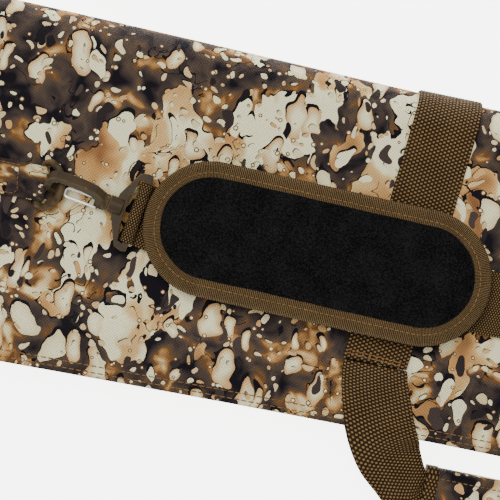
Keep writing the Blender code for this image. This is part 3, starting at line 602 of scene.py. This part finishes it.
def layer(side, depth, rings, start, loose=0.0):
    """A surface at this depth below a shell's outer one: points, their place in the cloth, quads and
    the border. side is 1 for the front and -1 for the back; loose is how far the cloth sags."""
    points, woven, faces = [], [], []

    def add(x, y, level, across, sag):
        rumple = 0.5 + 0.5 * noise.noise(Vector((x / 0.075, y / 0.055, side * 3.0)))
        level -= loose * sag * rumple
        edge = fold_half_width(x) + FOLD_RADIUS * (pi / 2 - 1)
        points.append((x, y, MID_Z + side * level))
        woven.append((x, across if side > 0 else 2 * edge - across, 0.0))
        return len(points) - 1

    loops = []
    for ring in range(rings + 1):
        u = ring / rings
        turn = u * pi / 2
        run_hem = start + (FLANGE + HEM_RISE - start) * u
        slope = (hem_height(run_hem + 0.0005) - hem_height(run_hem - 0.0005)) / 0.001
        size = hypot(1, slope)
        loop = []
        for point, normal in zip(OUTLINE, INWARD):
            fold = smooth((-normal.y - 0.75) / 0.2)
            run = fold * FOLD_RADIUS * (1 - cos(turn)) + (1 - fold) * run_hem
            height = fold * SHELL_HALF_HEIGHT * sin(turn) + (1 - fold) * hem_height(run_hem)
            inward = fold * cos(turn) + (1 - fold) * slope / size
            down = fold * sin(turn) + (1 - fold) / size
            length = hypot(inward, down)
            level = max(height - depth * down / length, GAP / 2 if depth else 0.0)
            flat = point + normal * (run + depth * inward / length)
            across = flat.y + fold * FOLD_RADIUS * (pi / 2 - turn - cos(turn))
            pull = noise.noise(Vector((flat.x / 0.020, flat.y / 0.110, side * 5.0)))
            sag = u ** 3 * 0.6 + (1 - fold) * sin(pi * u) ** 2 * (0.5 + 1.2 * pull)
            loop.append(add(flat.x, flat.y, level, across, sag))
        loops.append(loop)
    for one, two in zip(loops, loops[1:]):
        faces += quads(one, two)
    inner = loops[-1]

    def between(first, last, share, sag):
        """A point of the flat face, at this share of the way between two others."""
        a, b = points[first], points[last]
        x, y = a[0] + (b[0] - a[0]) * share, a[1] + (b[1] - a[1]) * share
        return add(x, y, SHELL_HALF_HEIGHT - depth, y, sag)

    grid = []
    for i in range(STRAIGHT_STEPS + 1):
        first, last = inner[i], inner[2 * STRAIGHT_STEPS + END_STEPS - i]
        shares = [j / END_STEPS for j in range(1, END_STEPS)]
        grid.append([first] + [between(first, last, s, 0.6 + 0.4 * sin(pi * s)) for s in shares] + [last])
    right = [inner[STRAIGHT_STEPS + j] for j in range(END_STEPS + 1)]
    left = [inner[-j] for j in range(END_STEPS + 1)]
    for border, column in ((right, grid[-1]), (left, grid[0])):
        columns = [column]
        for k in range(1, END_COLUMNS):
            made = [between(column[j], border[j], k / END_COLUMNS, 0.7) for j in range(1, END_STEPS)]
            columns.append([border[0]] + made + [border[-1]])
        columns.append(border)
        for one, two in zip(columns, columns[1:]):
            faces += quads(one, two, False)
    for one, two in zip(grid, grid[1:]):
        faces += quads(one, two, False)
    faces = [tuple(dict.fromkeys(face)) for face in faces]
    return points, woven, [face for face in faces if len(face) > 2], loops[0]


def stacked(one, two, joined):
    """Two layers as one mesh, with a strip between their borders if joined."""
    shift = len(one[0])
    faces = one[2] + [tuple(i + shift for i in reversed(face)) for face in two[2]]
    if joined:
        a, b = one[3], [i + shift for i in two[3]]
        count = len(a)
        faces += [(a[i], b[i], b[(i + 1) % count], a[(i + 1) % count]) for i in range(count)]
    return one[0] + two[0], one[1] + two[1], faces


def bag_bend(made):
    """The cloth's place in the world, baked into its mesh."""
    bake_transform(made)


def from_fold(path):
    """An open line round the hem and the ends, begun where it leaves the fold at the left."""
    first = next(i for i, p in enumerate(path) if p[0] < -STRAIGHT_HALF and p[1] > 0)
    return path[first:] + path[:first]


def shells():
    points, woven, faces = stacked(*(layer(side, 0.0, 24, 0.0, COVER_SAG) for side in (1, -1)), False)
    cover = solid("bag_cover", points, faces, CAMO, woven)
    tidied(cover.data, 1e-5)
    cover = changed(cover, "SOLIDIFY", thickness=COVER, offset=-1.0)
    bag_bend(cover)
    shown(cover, None, "printed_fabric", "front_shell", "back_shell")
    for word, side, body in HALVES:
        outer, inner = (layer(side, depth, 8, FOAM_START) for depth in (FOAM_OUTER, FOAM_INNER))
        points, woven, faces = stacked(outer, inner, True)
        pad = solid(f"{word}_padding", points, faces, FOAM_GREY, woven)
        strips = ("", "_hem_left", "_hem_right", "_fold_edge", "_left_end", "_right_end")
        shown(pad, body, "foam", *(f"{word}_foam{strip}" for strip in strips))
        points, woven, faces, _ = layer(side, LINING_DEPTH, 10, LINING_START, LINING_SAG)
        lining = solid(f"{word}_lining_cloth", points, faces, LINING_CLOTH, woven)
        lining = changed(lining, "SOLIDIFY", thickness=LINING, offset=0.0)
        shown(lining, body, "lining", f"{word}_lining")
        # two rows of topstitch hold the hem
        for number, inset in ((1, 0.0040), (2, 0.0090)):
            path = [p + n * inset for p, n in zip(OUTLINE, INWARD) if n.y > -0.5]
            path = from_fold([(p.x, p.y, MID_Z + side * (FLANGE_HEIGHT + 0.0001)) for p in path])
            stitches(f"{word}_hem_stitch_{number}", body, "printed_fabric", path, TAN_THREAD,
                     0.0055, 0.0043, 0.00042, side)


# ---- the zipper ----


def zip_path():
    path = []
    for point, normal in zip(OUTLINE, INWARD):
        flat = point + normal * ZIP_INSET
        if flat.y < 0:
            straight = 1 - smooth((abs(flat.x) - 0.25) / 0.10)
            flat.y += (-(HEM_HALF_WIDTH - ZIP_INSET) - flat.y) * straight
        if normal.y > -0.35:
            path.append((flat.x, flat.y, 0.0))
    return from_fold(path)


def zipper():
    path = zip_path()
    for word, side, body in HALVES:
        centre, _, run = along_curve(path, 0.006)
        along = unit(np.gradient(centre, axis=0))
        points, woven = [], []
        for c, a, r in zip(centre, along, run):
            out = Vector((a[1], -a[0], 0))
            for across, level in ((0.0004, 0.0027), (-0.0004, 0.0027), (-0.0004, 0.0074), (0.0004, 0.0074)):
                points.append(Vector(c) + out * across + Vector((0, 0, MID_Z + side * level)))
                woven.append((r, level, 0.0))
        tape = solid(f"{word}_tape", points, tube_faces(len(centre), 4), ZIP_CLOTH, woven)
        shown(tape, body, "zipper_black", f"{word}_zipper_tape")
        # the coil: a row of rounded teeth, those of the two halves in turn
        centre = along_curve(path, 0.0018)[0]
        points, faces = [], []
        for i in range(1, len(centre) - 1):
            a = Vector(centre[i + 1] - centre[i - 1]).normalized()
            out = Vector((a.y, -a.x, 0))
            middle = Vector(centre[i]) + a * (0.00045 * side) + Vector((0, 0, MID_Z))
            first = len(points)
            for across, size in ((-0.0016, 0.55), (-0.0009, 1.0), (0.0009, 1.0), (0.0016, 0.55)):
                for k in range(6):
                    turn = 2 * pi * k / 6
                    level = side * (0.00125 + 0.00105 * size * sin(turn))
                    points.append(middle + out * across + a * (0.0005 * size * cos(turn)) + Vector((0, 0, level)))
            faces += [tuple(first + j for j in face) for face in tube_faces(4, 6)]
        shown(solid(f"{word}_coil", points, faces, ZIP_CLOTH), body, "zipper_black", f"{word}_zipper_coil")


# ---- softened copies of the hardware ----


def softened(name, node, look, voxel, swell=0.0):
    """A frame node's shape with its edges rounded as moulding leaves them, and a little fuller."""
    data = frame["nodes"][node].data.copy()
    data.name = name
    data.materials.clear()
    data.materials.append(look)
    tidied(data, 1e-6)
    made = changed(placed(name, data), "REMESH", mode="VOXEL", voxel_size=voxel, use_smooth_shade=True)
    if swell:
        made = changed(made, "DISPLACE", strength=swell, mid_level=0.0)
    made = changed(made, "SMOOTH", factor=0.5, iterations=3)
    if not made.data.materials:
        made.data.materials.append(look)
    return made


def hardware():
    for word, _ in SIDES:
        for name, node, body in (("slider_body", "zipper_slider", "slider"), ("pull", "pull_tab", "pull")):
            made = softened(f"{word}_{name}", f"{word}_{node}", ZIP_METAL, 0.00022)
            shown(made, f"{word}_{body}", "zipper_metal", f"{word}_{node}")
        for name, node, body in (("buckle", "hook_base", "front"), ("snap", "hook", f"{word}_hook")):
            made = softened(f"{word}_{name}", f"{word}_{node}", PLASTIC, 0.00035, 0.0002)
            shown(made, body, "brown_plastic", f"{word}_{node}")
    slide = softened("adjuster_slide", "strap_adjuster", PLASTIC, 0.00035)
    shown(slide, "front", "brown_plastic", "strap_adjuster")


def hardware_frame(side):
    """Where a hook and its base are: origin on the bar's centre, +X along the swivel's axis."""
    mirror = Matrix.Diagonal((-side, 1, 1, 1))
    turn = Matrix.Rotation(pi - BASE_TURN, 4, "Z")
    flip = Matrix.Rotation(pi, 4, "X")
    rise = Matrix.Rotation(HOOK_RISE, 4, "Y")
    return mirror @ Matrix.Translation((-BAR.x, BAR.y, BAR.z)) @ turn @ flip @ rise


def wire_gates():
    tip, half, bend = 0.0548, 0.0040, 0.0028
    leg = [(0.0300, -0.0060, half), (0.0400, -0.0061, half), (0.0500, -0.0063, half)]
    leg += [(x, -0.0064, z) for x, z in arc((tip - bend, half - bend), bend, 90, 0, 6)]
    for word, side in SIDES:
        place = hardware_frame(side) @ Matrix.Rotation(-HOOK_ROLL, 4, "X")
        path = [place @ Vector(p) for p in leg + [(x, y, -z) for x, y, z in reversed(leg)]]
        across = place.to_3x3() @ Vector((0, 1, 0))
        points, faces = bar_along(path, 0.00075, across, 12)
        made = solid(f"{word}_wire_gate", points, faces, STEEL)
        shown(made, f"{word}_gate", "steel_wire", f"{word}_hook_gate")


def rings():
    for word, side in SIDES:
        turns = [radians(a) for a in range(8, 173, 6)]
        bow = [(0.0030 + (RING_DEPTH - 0.0030) * sin(t), RING_HALF * cos(t), 0) for t in turns]
        path = [(0, -0.008, 0), (0, 0, 0), (0, 0.008, 0), (0.0002, 0.012, 0), (0.0008, RING_HALF - 0.0015, 0)]
        path += bow + [(0.0008, -RING_HALF + 0.0015, 0), (0.0002, -0.012, 0)]
        bar = Matrix.Diagonal((-side, 1, 1, 1)) @ Matrix.Translation((-RING.x, RING.y, RING.z))
        place = bar @ Matrix.Rotation(-RING_TILT, 4, "Y")
        across = place.to_3x3() @ Vector((0, 0, 1))
        points, faces = bar_along([place @ Vector(p) for p in path], RING_RADIUS, across, 20, True)
        shown(solid(f"{word}_ring", points, faces, PLASTIC), f"{word}_ring", "brown_plastic", f"{word}_d_ring")
        # the tab: printed cloth folded round the ring's straight bar, stitched down
        thick = 0.0014
        loop = RING_RADIUS + 0.0004 + thick / 2
        low = FACE_Z + GAP + thick / 2 - RING.z
        upper = low + thick + GAP
        line = [(-0.062, low), (-0.040, low), (-0.012, low)] + arc((0, 0), loop, -90, 90, 8)
        line += [(-0.006, loop - 0.0004), (-0.012, upper + 0.0012), (-0.016, upper), (-0.040, upper), (-0.060, upper)]
        line = [bar @ Vector((x, 0, z)) for x, z in line]
        tab = strap(f"{word}_tab", line, 0.026, (0, 1, 0), CAMO, thick, 6, 0.0015, 0.3)
        shown(tab, "front", "printed_fabric", f"{word}_ring_tab")
        top = upper + thick / 2 + 0.0001
        edge = [(-0.018, 0.0105), (-0.040, 0.0105), (-0.057, 0.0105)]
        edge += [(-0.057, 0)] + [(x, -y) for x, y in reversed(edge)] + [(-0.018, 0), (-0.018, 0.0105)]
        box = [bar @ Vector((x, y, top)) for x, y in edge]
        stitches(f"{word}_tab_stitch", "front", "printed_fabric", box, TAN_THREAD, 0.0036, 0.0028, 0.0003)


# ---- webbing ----


def band_x(y, side):
    share = (y - STITCH_Y) / (FOLD_HALF_WIDTH - STITCH_Y)
    return side * (BAND_X_STITCH + (BAND_X_FOLD - BAND_X_STITCH) * share)


def band_half(side, sign):
    """Half of a carry band's middle line, from the fold's middle to the cross stitch."""
    lift, slack = GAP + WEBBING / 2, 0.0009
    radius = FOLD_RADIUS + lift + slack
    path = []
    for i in range(10):
        turn = radians(2 + 76 * i / 9)
        y = fold_half_width(BAND_X_FOLD) + lift + slack - radius * (1 - cos(turn))
        path.append((band_x(y, side), y, MID_Z + sign * radius * sin(turn)))
    for y in (0.085, 0.040, 0.0, -0.035, -0.058):
        path.append((band_x(y, side), y, MID_Z + sign * (SHELL_HALF_HEIGHT + lift)))
    for y in (-0.068, STITCH_Y - 0.0012):
        path.append((band_x(y, side), y, MID_Z + sign * (hem_level(y) + lift + slack)))
    return path


def carry_bands():
    for word, side in SIDES:
        path = list(reversed(band_half(side, 1))) + band_half(side, -1)
        band = strap(f"carry_band_{word}", path, WEBBING_WIDTH, (1, 0, 0), WEB)
        bag_bend(band)
        shown(band, None, "brown_webbing", f"front_band_{word}", f"back_band_{word}")
        for half, sign, body in HALVES:
            for number, y in ((1, STITCH_Y + 0.0018), (2, STITCH_Y + 0.0042)):
                level = hem_level(y) + GAP + WEBBING + 0.0010
                centre = band_x(y, side)
                path = [(centre + step, y + 0.05 * step * side, MID_Z + sign * level)
                        for step in (-0.022, -0.011, 0, 0.011, 0.022)]
                stitches(f"{half}_{word}_cross_{number}", body, "brown_webbing", path, COPPER_THREAD,
                         0.0030, 0.0027, 0.00045, sign)


def handle_path(sign):
    lift, rest = 0.0030, 0.0021
    plan = [(-0.1170, -0.0805, 0.0480), (-0.1150, -0.0900, 0.0500), (-0.1112, -0.1020, 0.0530),
            (-0.1058, -0.1170, 0.0545), (-0.0992, -0.1330, 0.0540), (-0.0900, -0.1490, 0.0490),
            (-0.0795, -0.1620, 0.0420), (-0.0700, -0.1725, 0.0380), (-0.0620, -0.1765, 0.0360)]
    points = []
    for x, y, _ in plan:
        if y > -0.128:
            level = hem_level(y, x) + lift
        else:
            level = rest + (FLANGE_HEIGHT + lift - rest) * (1 - smooth((-0.128 - y) / 0.030))
        points.append((x, y, MID_Z + sign * level))
    return points, [width for _, _, width in plan]


def handles():
    for word, sign, _ in HALVES:
        points, widths = handle_path(sign)
        middle = [(x, -0.177, points[-1][2]) for x in (-0.03, 0.0, 0.03)]
        path = points + middle + [(-x, y, z) for x, y, z in reversed(points)]
        widths = widths + [0.036] * 3 + list(reversed(widths))
        sides = []
        for i, point in enumerate(path):
            before, after = path[max(i - 1, 0)], path[min(i + 1, len(path) - 1)]
            along = Vector((after[0] - before[0], after[1] - before[1], 0)).normalized()
            turn = smooth((-0.126 - point[1]) / 0.020)
            level = Vector((copysign(1.0, -along.y) if abs(along.y) > 0.5 else 0.0, 0, 0))
            sides.append(Vector((-along.y, along.x, 0)) * turn + level * (1 - turn))
        made = strap(f"{word}_handle_webbing", path, widths, sides, WEB, spacing=0.0035)
        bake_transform(made)
        shown(made, None, "brown_webbing", f"{word}_handle")


def sleeve(name, look, reach, centre, wall, puff, count, over=0.0):
    """A padded sleeve open below, reaching each way from centre along the bag, over another by a little."""
    near, far, high, low = -0.149 + over, -0.205 - over, 0.0095 + over, -0.0095 - over
    half, corner = wall / 2, 0.0050
    line = [(near - half, low + half)] + [(near - half, (low + high) / 2)]
    line += arc((near - half - corner, high - half - corner), corner, 0, 90, 6)
    line += [((near + far) / 2 + k * 0.010, high - half) for k in (1, 0, -1)]
    line += arc((far + half + corner, high - half - corner), corner, 90, 180, 6)
    line += [(far + half, (low + high) / 2), (far + half, low + half)]
    spine = [Vector((0, y, z)) for y, z in line]
    length = [0.0]
    for one, two in zip(spine, spine[1:]):
        length.append(length[-1] + (two - one).length)
    points, woven, rounding = [], [], 4
    for i in range(count + 1):
        share = i / count
        x = centre - reach + 2 * reach * share
        swell = puff * sin(pi * share) ** 0.4
        outer, inner = [], []
        for j, p in enumerate(spine):
            run = (spine[min(j + 1, len(spine) - 1)] - spine[max(j - 1, 0)]).normalized()
            out = Vector((0, -run.z, run.y)) * (half + swell)
            out = -out if out.dot(p - Vector((0, (near + far) / 2, low))) < 0 else out
            outer.append((p + out, length[j]))
            inner.append((p - out, length[j]))
        lips = []
        for end, start, stop in ((-1, outer[-1][0], inner[-1][0]), (0, inner[0][0], outer[0][0])):
            middle, radius = (start + stop) / 2, (start - stop) / 2
            lip = []
            for k in range(1, rounding):
                turn = pi * k / rounding
                down = Vector((0, 0, -radius.length * sin(turn)))
                lip.append((middle + radius * cos(turn) + down, length[end]))
            lips.append(lip)
        ring = outer + lips[0] + inner[::-1] + lips[1]
        for p, run in ring:
            points.append((x, p.y, MID_Z + p.z))
            woven.append((x, run - 0.25, 0.0))
    return solid(name, points, tube_faces(count + 1, len(ring)), look, woven)


def grip():
    wrap = sleeve("grip_sleeve", CAMO, 0.0590, 0.0, 0.0042, 0.0008, 44)
    shown(wrap, "front_handle", "printed_fabric", "grip_wrap")
    for word, side in SIDES:
        edge = sleeve(f"grip_edge_{word}", WEB, 0.0045, side * 0.0562, 0.0070, 0.0, 6, 0.0012)
        shown(edge, "front_handle", "brown_webbing")
    for word, y in (("near", -0.1550), ("far", -0.1990)):
        line = [(x, y, MID_Z + 0.0103) for x in (-0.050, -0.025, 0, 0.025, 0.050)]
        stitches(f"grip_stitch_{word}", "front_handle", "printed_fabric", line, TAN_THREAD, 0.0042, 0.0032, 0.00035)


def strap_line():
    """The shoulder strap's middle line, its width directions and its widths."""
    path, sides, widths = [], [], []

    def lay(points, side, width):
        path.extend(points)
        sides.extend([side] * len(points))
        widths.extend([width] * len(points))

    def round_bar(centre, outward, radius, start, end, steps):
        turned = arc((0, 0), radius, start, end, steps)
        return [Vector(centre) - Vector(outward) * a + Vector((0, 0, b)) for a, b in turned]

    def round_base(side, start, end, steps):
        """Round the bar of the hook's base at one end."""
        x, y = cos(BASE_TURN), sin(BASE_TURN)
        loop = round_bar((side * BAR.x, BAR.y, BAR.z), (side * x, y, 0), BAR_LOOP, start, end, steps)
        lay(loop, (-side * y, x, 0), STRAP_WIDTH - 0.0015)

    round_base(-1, -5, 270, 11)
    plan = [(-0.2960, -0.0090), (-0.2600, -0.0120), (-0.1800, -0.0160), (-0.0900, -0.0180), (-0.0300, -0.0180),
            (0.0500, -0.0170), (0.1400, -0.0140), (0.2300, -0.0110), (0.2960, -0.0090)]
    lay([(x, y, STRAP_Z) for x, y in plan], (0, 1, 0), STRAP_WIDTH)
    round_base(1, 270, 75, 8)
    high = STRAP_Z + WEBBING + 2 * GAP
    back = [(0.3000, -0.0085, STRAP_Z + 0.0052), (0.2860, -0.0092, high), (0.2300, -0.0110, high),
            (0.1400, -0.0140, high), (ADJUSTER_X + 0.0290, -0.0145, high)]
    slide = ((0.0190, -0.0147), (0.0110, -0.0149), (0.0040, -0.0150))
    back += [(ADJUSTER_X + x, y, ADJUSTER_Z + 0.0034) for x, y in slide]
    lay(back, (0, 1, 0), STRAP_WIDTH)
    lay(round_bar((ADJUSTER_X, -0.0150, ADJUSTER_Z), (-1, 0, 0), 0.0032, 75, 190, 4), (0, 1, 0), STRAP_WIDTH)
    return path, sides, widths


def shoulder_strap():
    path, sides, widths = strap_line()
    made = strap("long_strap", path, widths, sides, FINE_WEB, ribs=28, spacing=0.0016)
    shown(made, "front", "brown_webbing", "shoulder_strap")
    for number, x in ((1, -0.286), (2, -0.280)):
        line = [(x, -0.0095 + y, STRAP_Z + WEBBING / 2 + 0.0001) for y in (-0.020, -0.01, 0, 0.01, 0.020)]
        stitches(f"left_loop_stitch_{number}", "front", "brown_webbing", line, TAN_THREAD, 0.0034, 0.0027, 0.0003)


# ---- the shoulder pad ----


def stadium(half_length, half_width, bend_steps=36, line_steps=28):
    """A long oval with round ends: points with their outward directions, and its whole length."""
    centre = half_length - half_width
    made = []
    for side in (1, -1):
        for i in range(bend_steps):
            turn = pi * (i / bend_steps - 0.5 * side)
            out = Vector((cos(turn), sin(turn), 0))
            made.append((Vector((side * centre, 0, 0)) + out * half_width, out))
        for i in range(line_steps):
            x = side * centre * (1 - 2 * i / line_steps)
            made.append((Vector((x, side * half_width, 0)), Vector((0, side, 0))))
    return made, 4 * centre + 2 * pi * half_width


def puffed(made, voxel, pressure, cap):
    """Cloth under pressure, held near where it started."""
    rest = changed(made, "REMESH", mode="VOXEL", voxel_size=voxel, use_smooth_shade=True)
    before = np.array([v.co for v in rest.data.vertices])
    scene = bpy.context.scene
    cloth = rest.modifiers.new("cloth", "CLOTH")
    settings = cloth.settings
    settings.use_pressure, settings.uniform_pressure_force = True, pressure
    settings.effector_weights.gravity = 0.0
    settings.tension_stiffness = settings.compression_stiffness = 30
    cloth.point_cache.frame_start, cloth.point_cache.frame_end = 1, 20
    scene.frame_start, scene.frame_end = 1, 20
    for number in range(1, 21):
        scene.frame_set(number)
    fresh = applied(rest).data
    scene.frame_set(1)
    moved = np.array([v.co for v in fresh.vertices]) - before
    size = np.linalg.norm(moved, axis=1)[:, None]
    limit = np.minimum(1.0, cap / np.maximum(size, 1e-9))
    fresh.vertices.foreach_set("co", (before + moved * limit).astype(np.float32).ravel())
    if not fresh.materials:
        fresh.materials.append(NEOPRENE)
    return changed(rest, "SUBSURF", levels=1)


def cushion():
    """The pad's filling and skins: a low crown that the binding presses down at its edge."""
    low, lip = PAD_LOW + 0.0018, PAD_HIGH - 0.0016
    points, faces, loops = [], [], []
    plan = [(0.0035, low), (0.0022, low + 0.0015), (0.0018, (low + lip) / 2), (0.0022, lip - 0.0015), (0.0035, lip)]
    plan += [(0.0090, lip), (0.0120, lip), (0.0140, lip + 0.0006), (0.0175, lip + 0.0013), (0.0220, lip + 0.0017),
             (0.0290, lip + 0.0020), (0.0380, lip + 0.0021), (0.0490, lip + 0.0021)]
    for reach, level in plan:
        made, _ = stadium(PAD_HALF_LENGTH - reach, PAD_HALF_WIDTH - reach)
        loops.append([len(points) + i for i in range(len(made))])
        points += [PAD_PLACE @ (p + Vector((0, 0, level))) for p, _ in made]
    for one, two in zip(loops, loops[1:]):
        faces += quads(one, two)
    faces += [tuple(reversed(loops[0])), tuple(loops[-1])]
    made = solid("pad_cushion", points, faces, NEOPRENE)
    made = puffed(made, 0.004, 4.0, 0.0008)
    made.data.shade_smooth()
    shown(made, "pad", "black_neoprene", "pad_foam", "pad_cover", "pad_backing")


def pad_binding():
    """Ribbed tape folded round the pad's edge, a rib at every other station."""
    rib = 0.00135
    bend_steps = 2 * int(pi * PAD_HALF_WIDTH / rib / 2)
    line_steps = 2 * int((PAD_HALF_LENGTH - PAD_HALF_WIDTH) / rib)
    edge, total = stadium(PAD_HALF_LENGTH, PAD_HALF_WIDTH, 2 * bend_steps, 2 * line_steps)
    steps = len(edge)
    low, high, wall, corner, seam = PAD_LOW, PAD_HIGH, 0.0012, 0.0042, 0.0085
    outer = [(0.0128, high - 0.0005), (0.0124, high - 0.0001), (0.0115, high), (0.0085, high - 0.0002)]
    outer += [(0.0062, high)] + [(corner - a, high - corner + b) for a, b in arc((0, 0), corner, 85, 5, 5)]
    outer += [(corner - a, low + corner + b) for a, b in arc((0, 0), corner, -5, -85, 5)]
    outer += [(0.0062, low), (0.0115, low), (0.0128, low + 0.0005)]
    inner = [(0.0124, low + wall), (0.0050, low + wall), (wall + 0.0008, low + 0.0040),
             (wall + 0.0008, high - 0.0040), (0.0050, high - wall), (0.0124, high - wall)]
    points, woven = [], []
    for i, (place, out) in enumerate(edge):
        bump = 0.00014 if i % 2 else -0.00014
        lean = 0.0008 * out.y
        wander = 0.00012 * sin(i * 0.11) + 0.0001 * sin(i * 0.043)
        for j, (reach, level) in enumerate(outer + inner):
            raised = bump if j < len(outer) else 0.0
            reach = reach + (wander - lean if reach > 0.008 else 0.0)
            middle = Vector((reach - 0.006, 0, level - (low + high) / 2))
            size = middle.length or 1.0
            spot = place - out * (reach - raised * middle.x / size)
            points.append(PAD_PLACE @ (spot + Vector((0, 0, level + raised * middle.z / size))))
            woven.append((total * i / steps, reach if j < len(outer) // 2 else 0.03 - reach, 0.0))
    made = solid("pad_edge", points, tube_faces(steps, len(outer + inner), True), TAPE, woven)
    shown(made, "pad", "binding_tape", "pad_binding")
    for word, level, up in (("upper", high - 0.00005, 1), ("lower", low + 0.0001, -1)):
        line, _ = stadium(PAD_HALF_LENGTH - seam, PAD_HALF_WIDTH - seam)
        line = [PAD_PLACE @ (p + Vector((0, 0, level))) for p, _ in line]
        stitches(f"pad_stitch_{word}", "pad", "binding_tape", line + line[:1], COPPER_THREAD,
                 0.0040, 0.0030, 0.00034, up)


def keepers():
    turn = PAD_PLACE.to_3x3() @ Vector((1, 0, 0))
    half, middle, thick = 0.0270, -0.0065, 0.0010
    under = STRAP_Z - WEBBING / 2 - GAP - thick / 2
    above = PAD_LOW + 0.0010
    for word, x in (("left", -0.066), ("right", 0.066)):
        arm = [(half, above), (half, (under + above) / 2), (half, under + 0.0010), (half - 0.0010, under),
               (half / 2, under)]
        line = [(-y, z) for y, z in arm] + [(0, under)] + list(reversed(arm))
        line = [PAD_PLACE @ Vector((x, middle + y, z)) for y, z in line]
        made = strap(f"keeper_{word}", line, 0.025, turn, WEB, thick, 10, 0.0012)
        shown(made, "pad", "brown_webbing", f"pad_keeper_{word}")


shells()
zipper()
hardware()
wire_gates()
rings()
carry_bands()
handles()
grip()
shoulder_strap()
cushion()
pad_binding()
keepers()

# ---- stage, light and camera ----


def stage():
    data = bpy.data.meshes.new("floor")
    data.from_pydata([(-6, -6, 0), (6, -6, 0), (6, 6, 0), (-6, 6, 0)], [], [(0, 1, 2, 3)])
    look = Look("studio_floor")
    colour = look.mix(look.noise(look.here(), 0.5, 1.0), linear("f4f4f4"), linear("ffffff"))
    look.shader.inputs["Emission Color"].default_value = (1.0, 1.0, 1.0, 1.0)
    look.shader.inputs["Emission Strength"].default_value = 5.0
    data.materials.append(look.finish(colour, 0.9))
    placed("floor", data)
    world = bpy.data.worlds.new("studio")
    world.use_nodes = True
    sky = world.node_tree.nodes["Background"].inputs
    sky["Color"].default_value, sky["Strength"].default_value = (1.0, 1.0, 1.0, 1.0), 0.60
    bpy.context.scene.world = world
    for name, spot, size, power in (("key", (-0.9, 0.7, 2.6), 1.5, 78.0), ("fill", (1.2, -0.6, 2.6), 2.0, 26.0)):
        lamp = bpy.data.lights.new(name, "AREA")
        lamp.size, lamp.energy = size, power
        made = placed(name, lamp)
        made.location = spot
        made.rotation_euler = (Vector((-0.1, 0, 0.05)) - Vector(spot)).to_track_quat("-Z", "Y").to_euler()


def camera():
    data = bpy.data.cameras.new("camera")
    data.lens, data.sensor_width = 120, 36
    data.clip_start, data.clip_end = 0.01, 50
    made = placed("camera", data)
    made.matrix_world = Matrix(((0.9789, -0.2045, 0, -0.2256), (0.2045, 0.9789, 0, WAIST_Y - 0.0158),
                                (0, 0, 1, FACE_Z + 1.233), (0, 0, 0, 1)))
    bpy.context.scene.camera = made


stage()
camera()
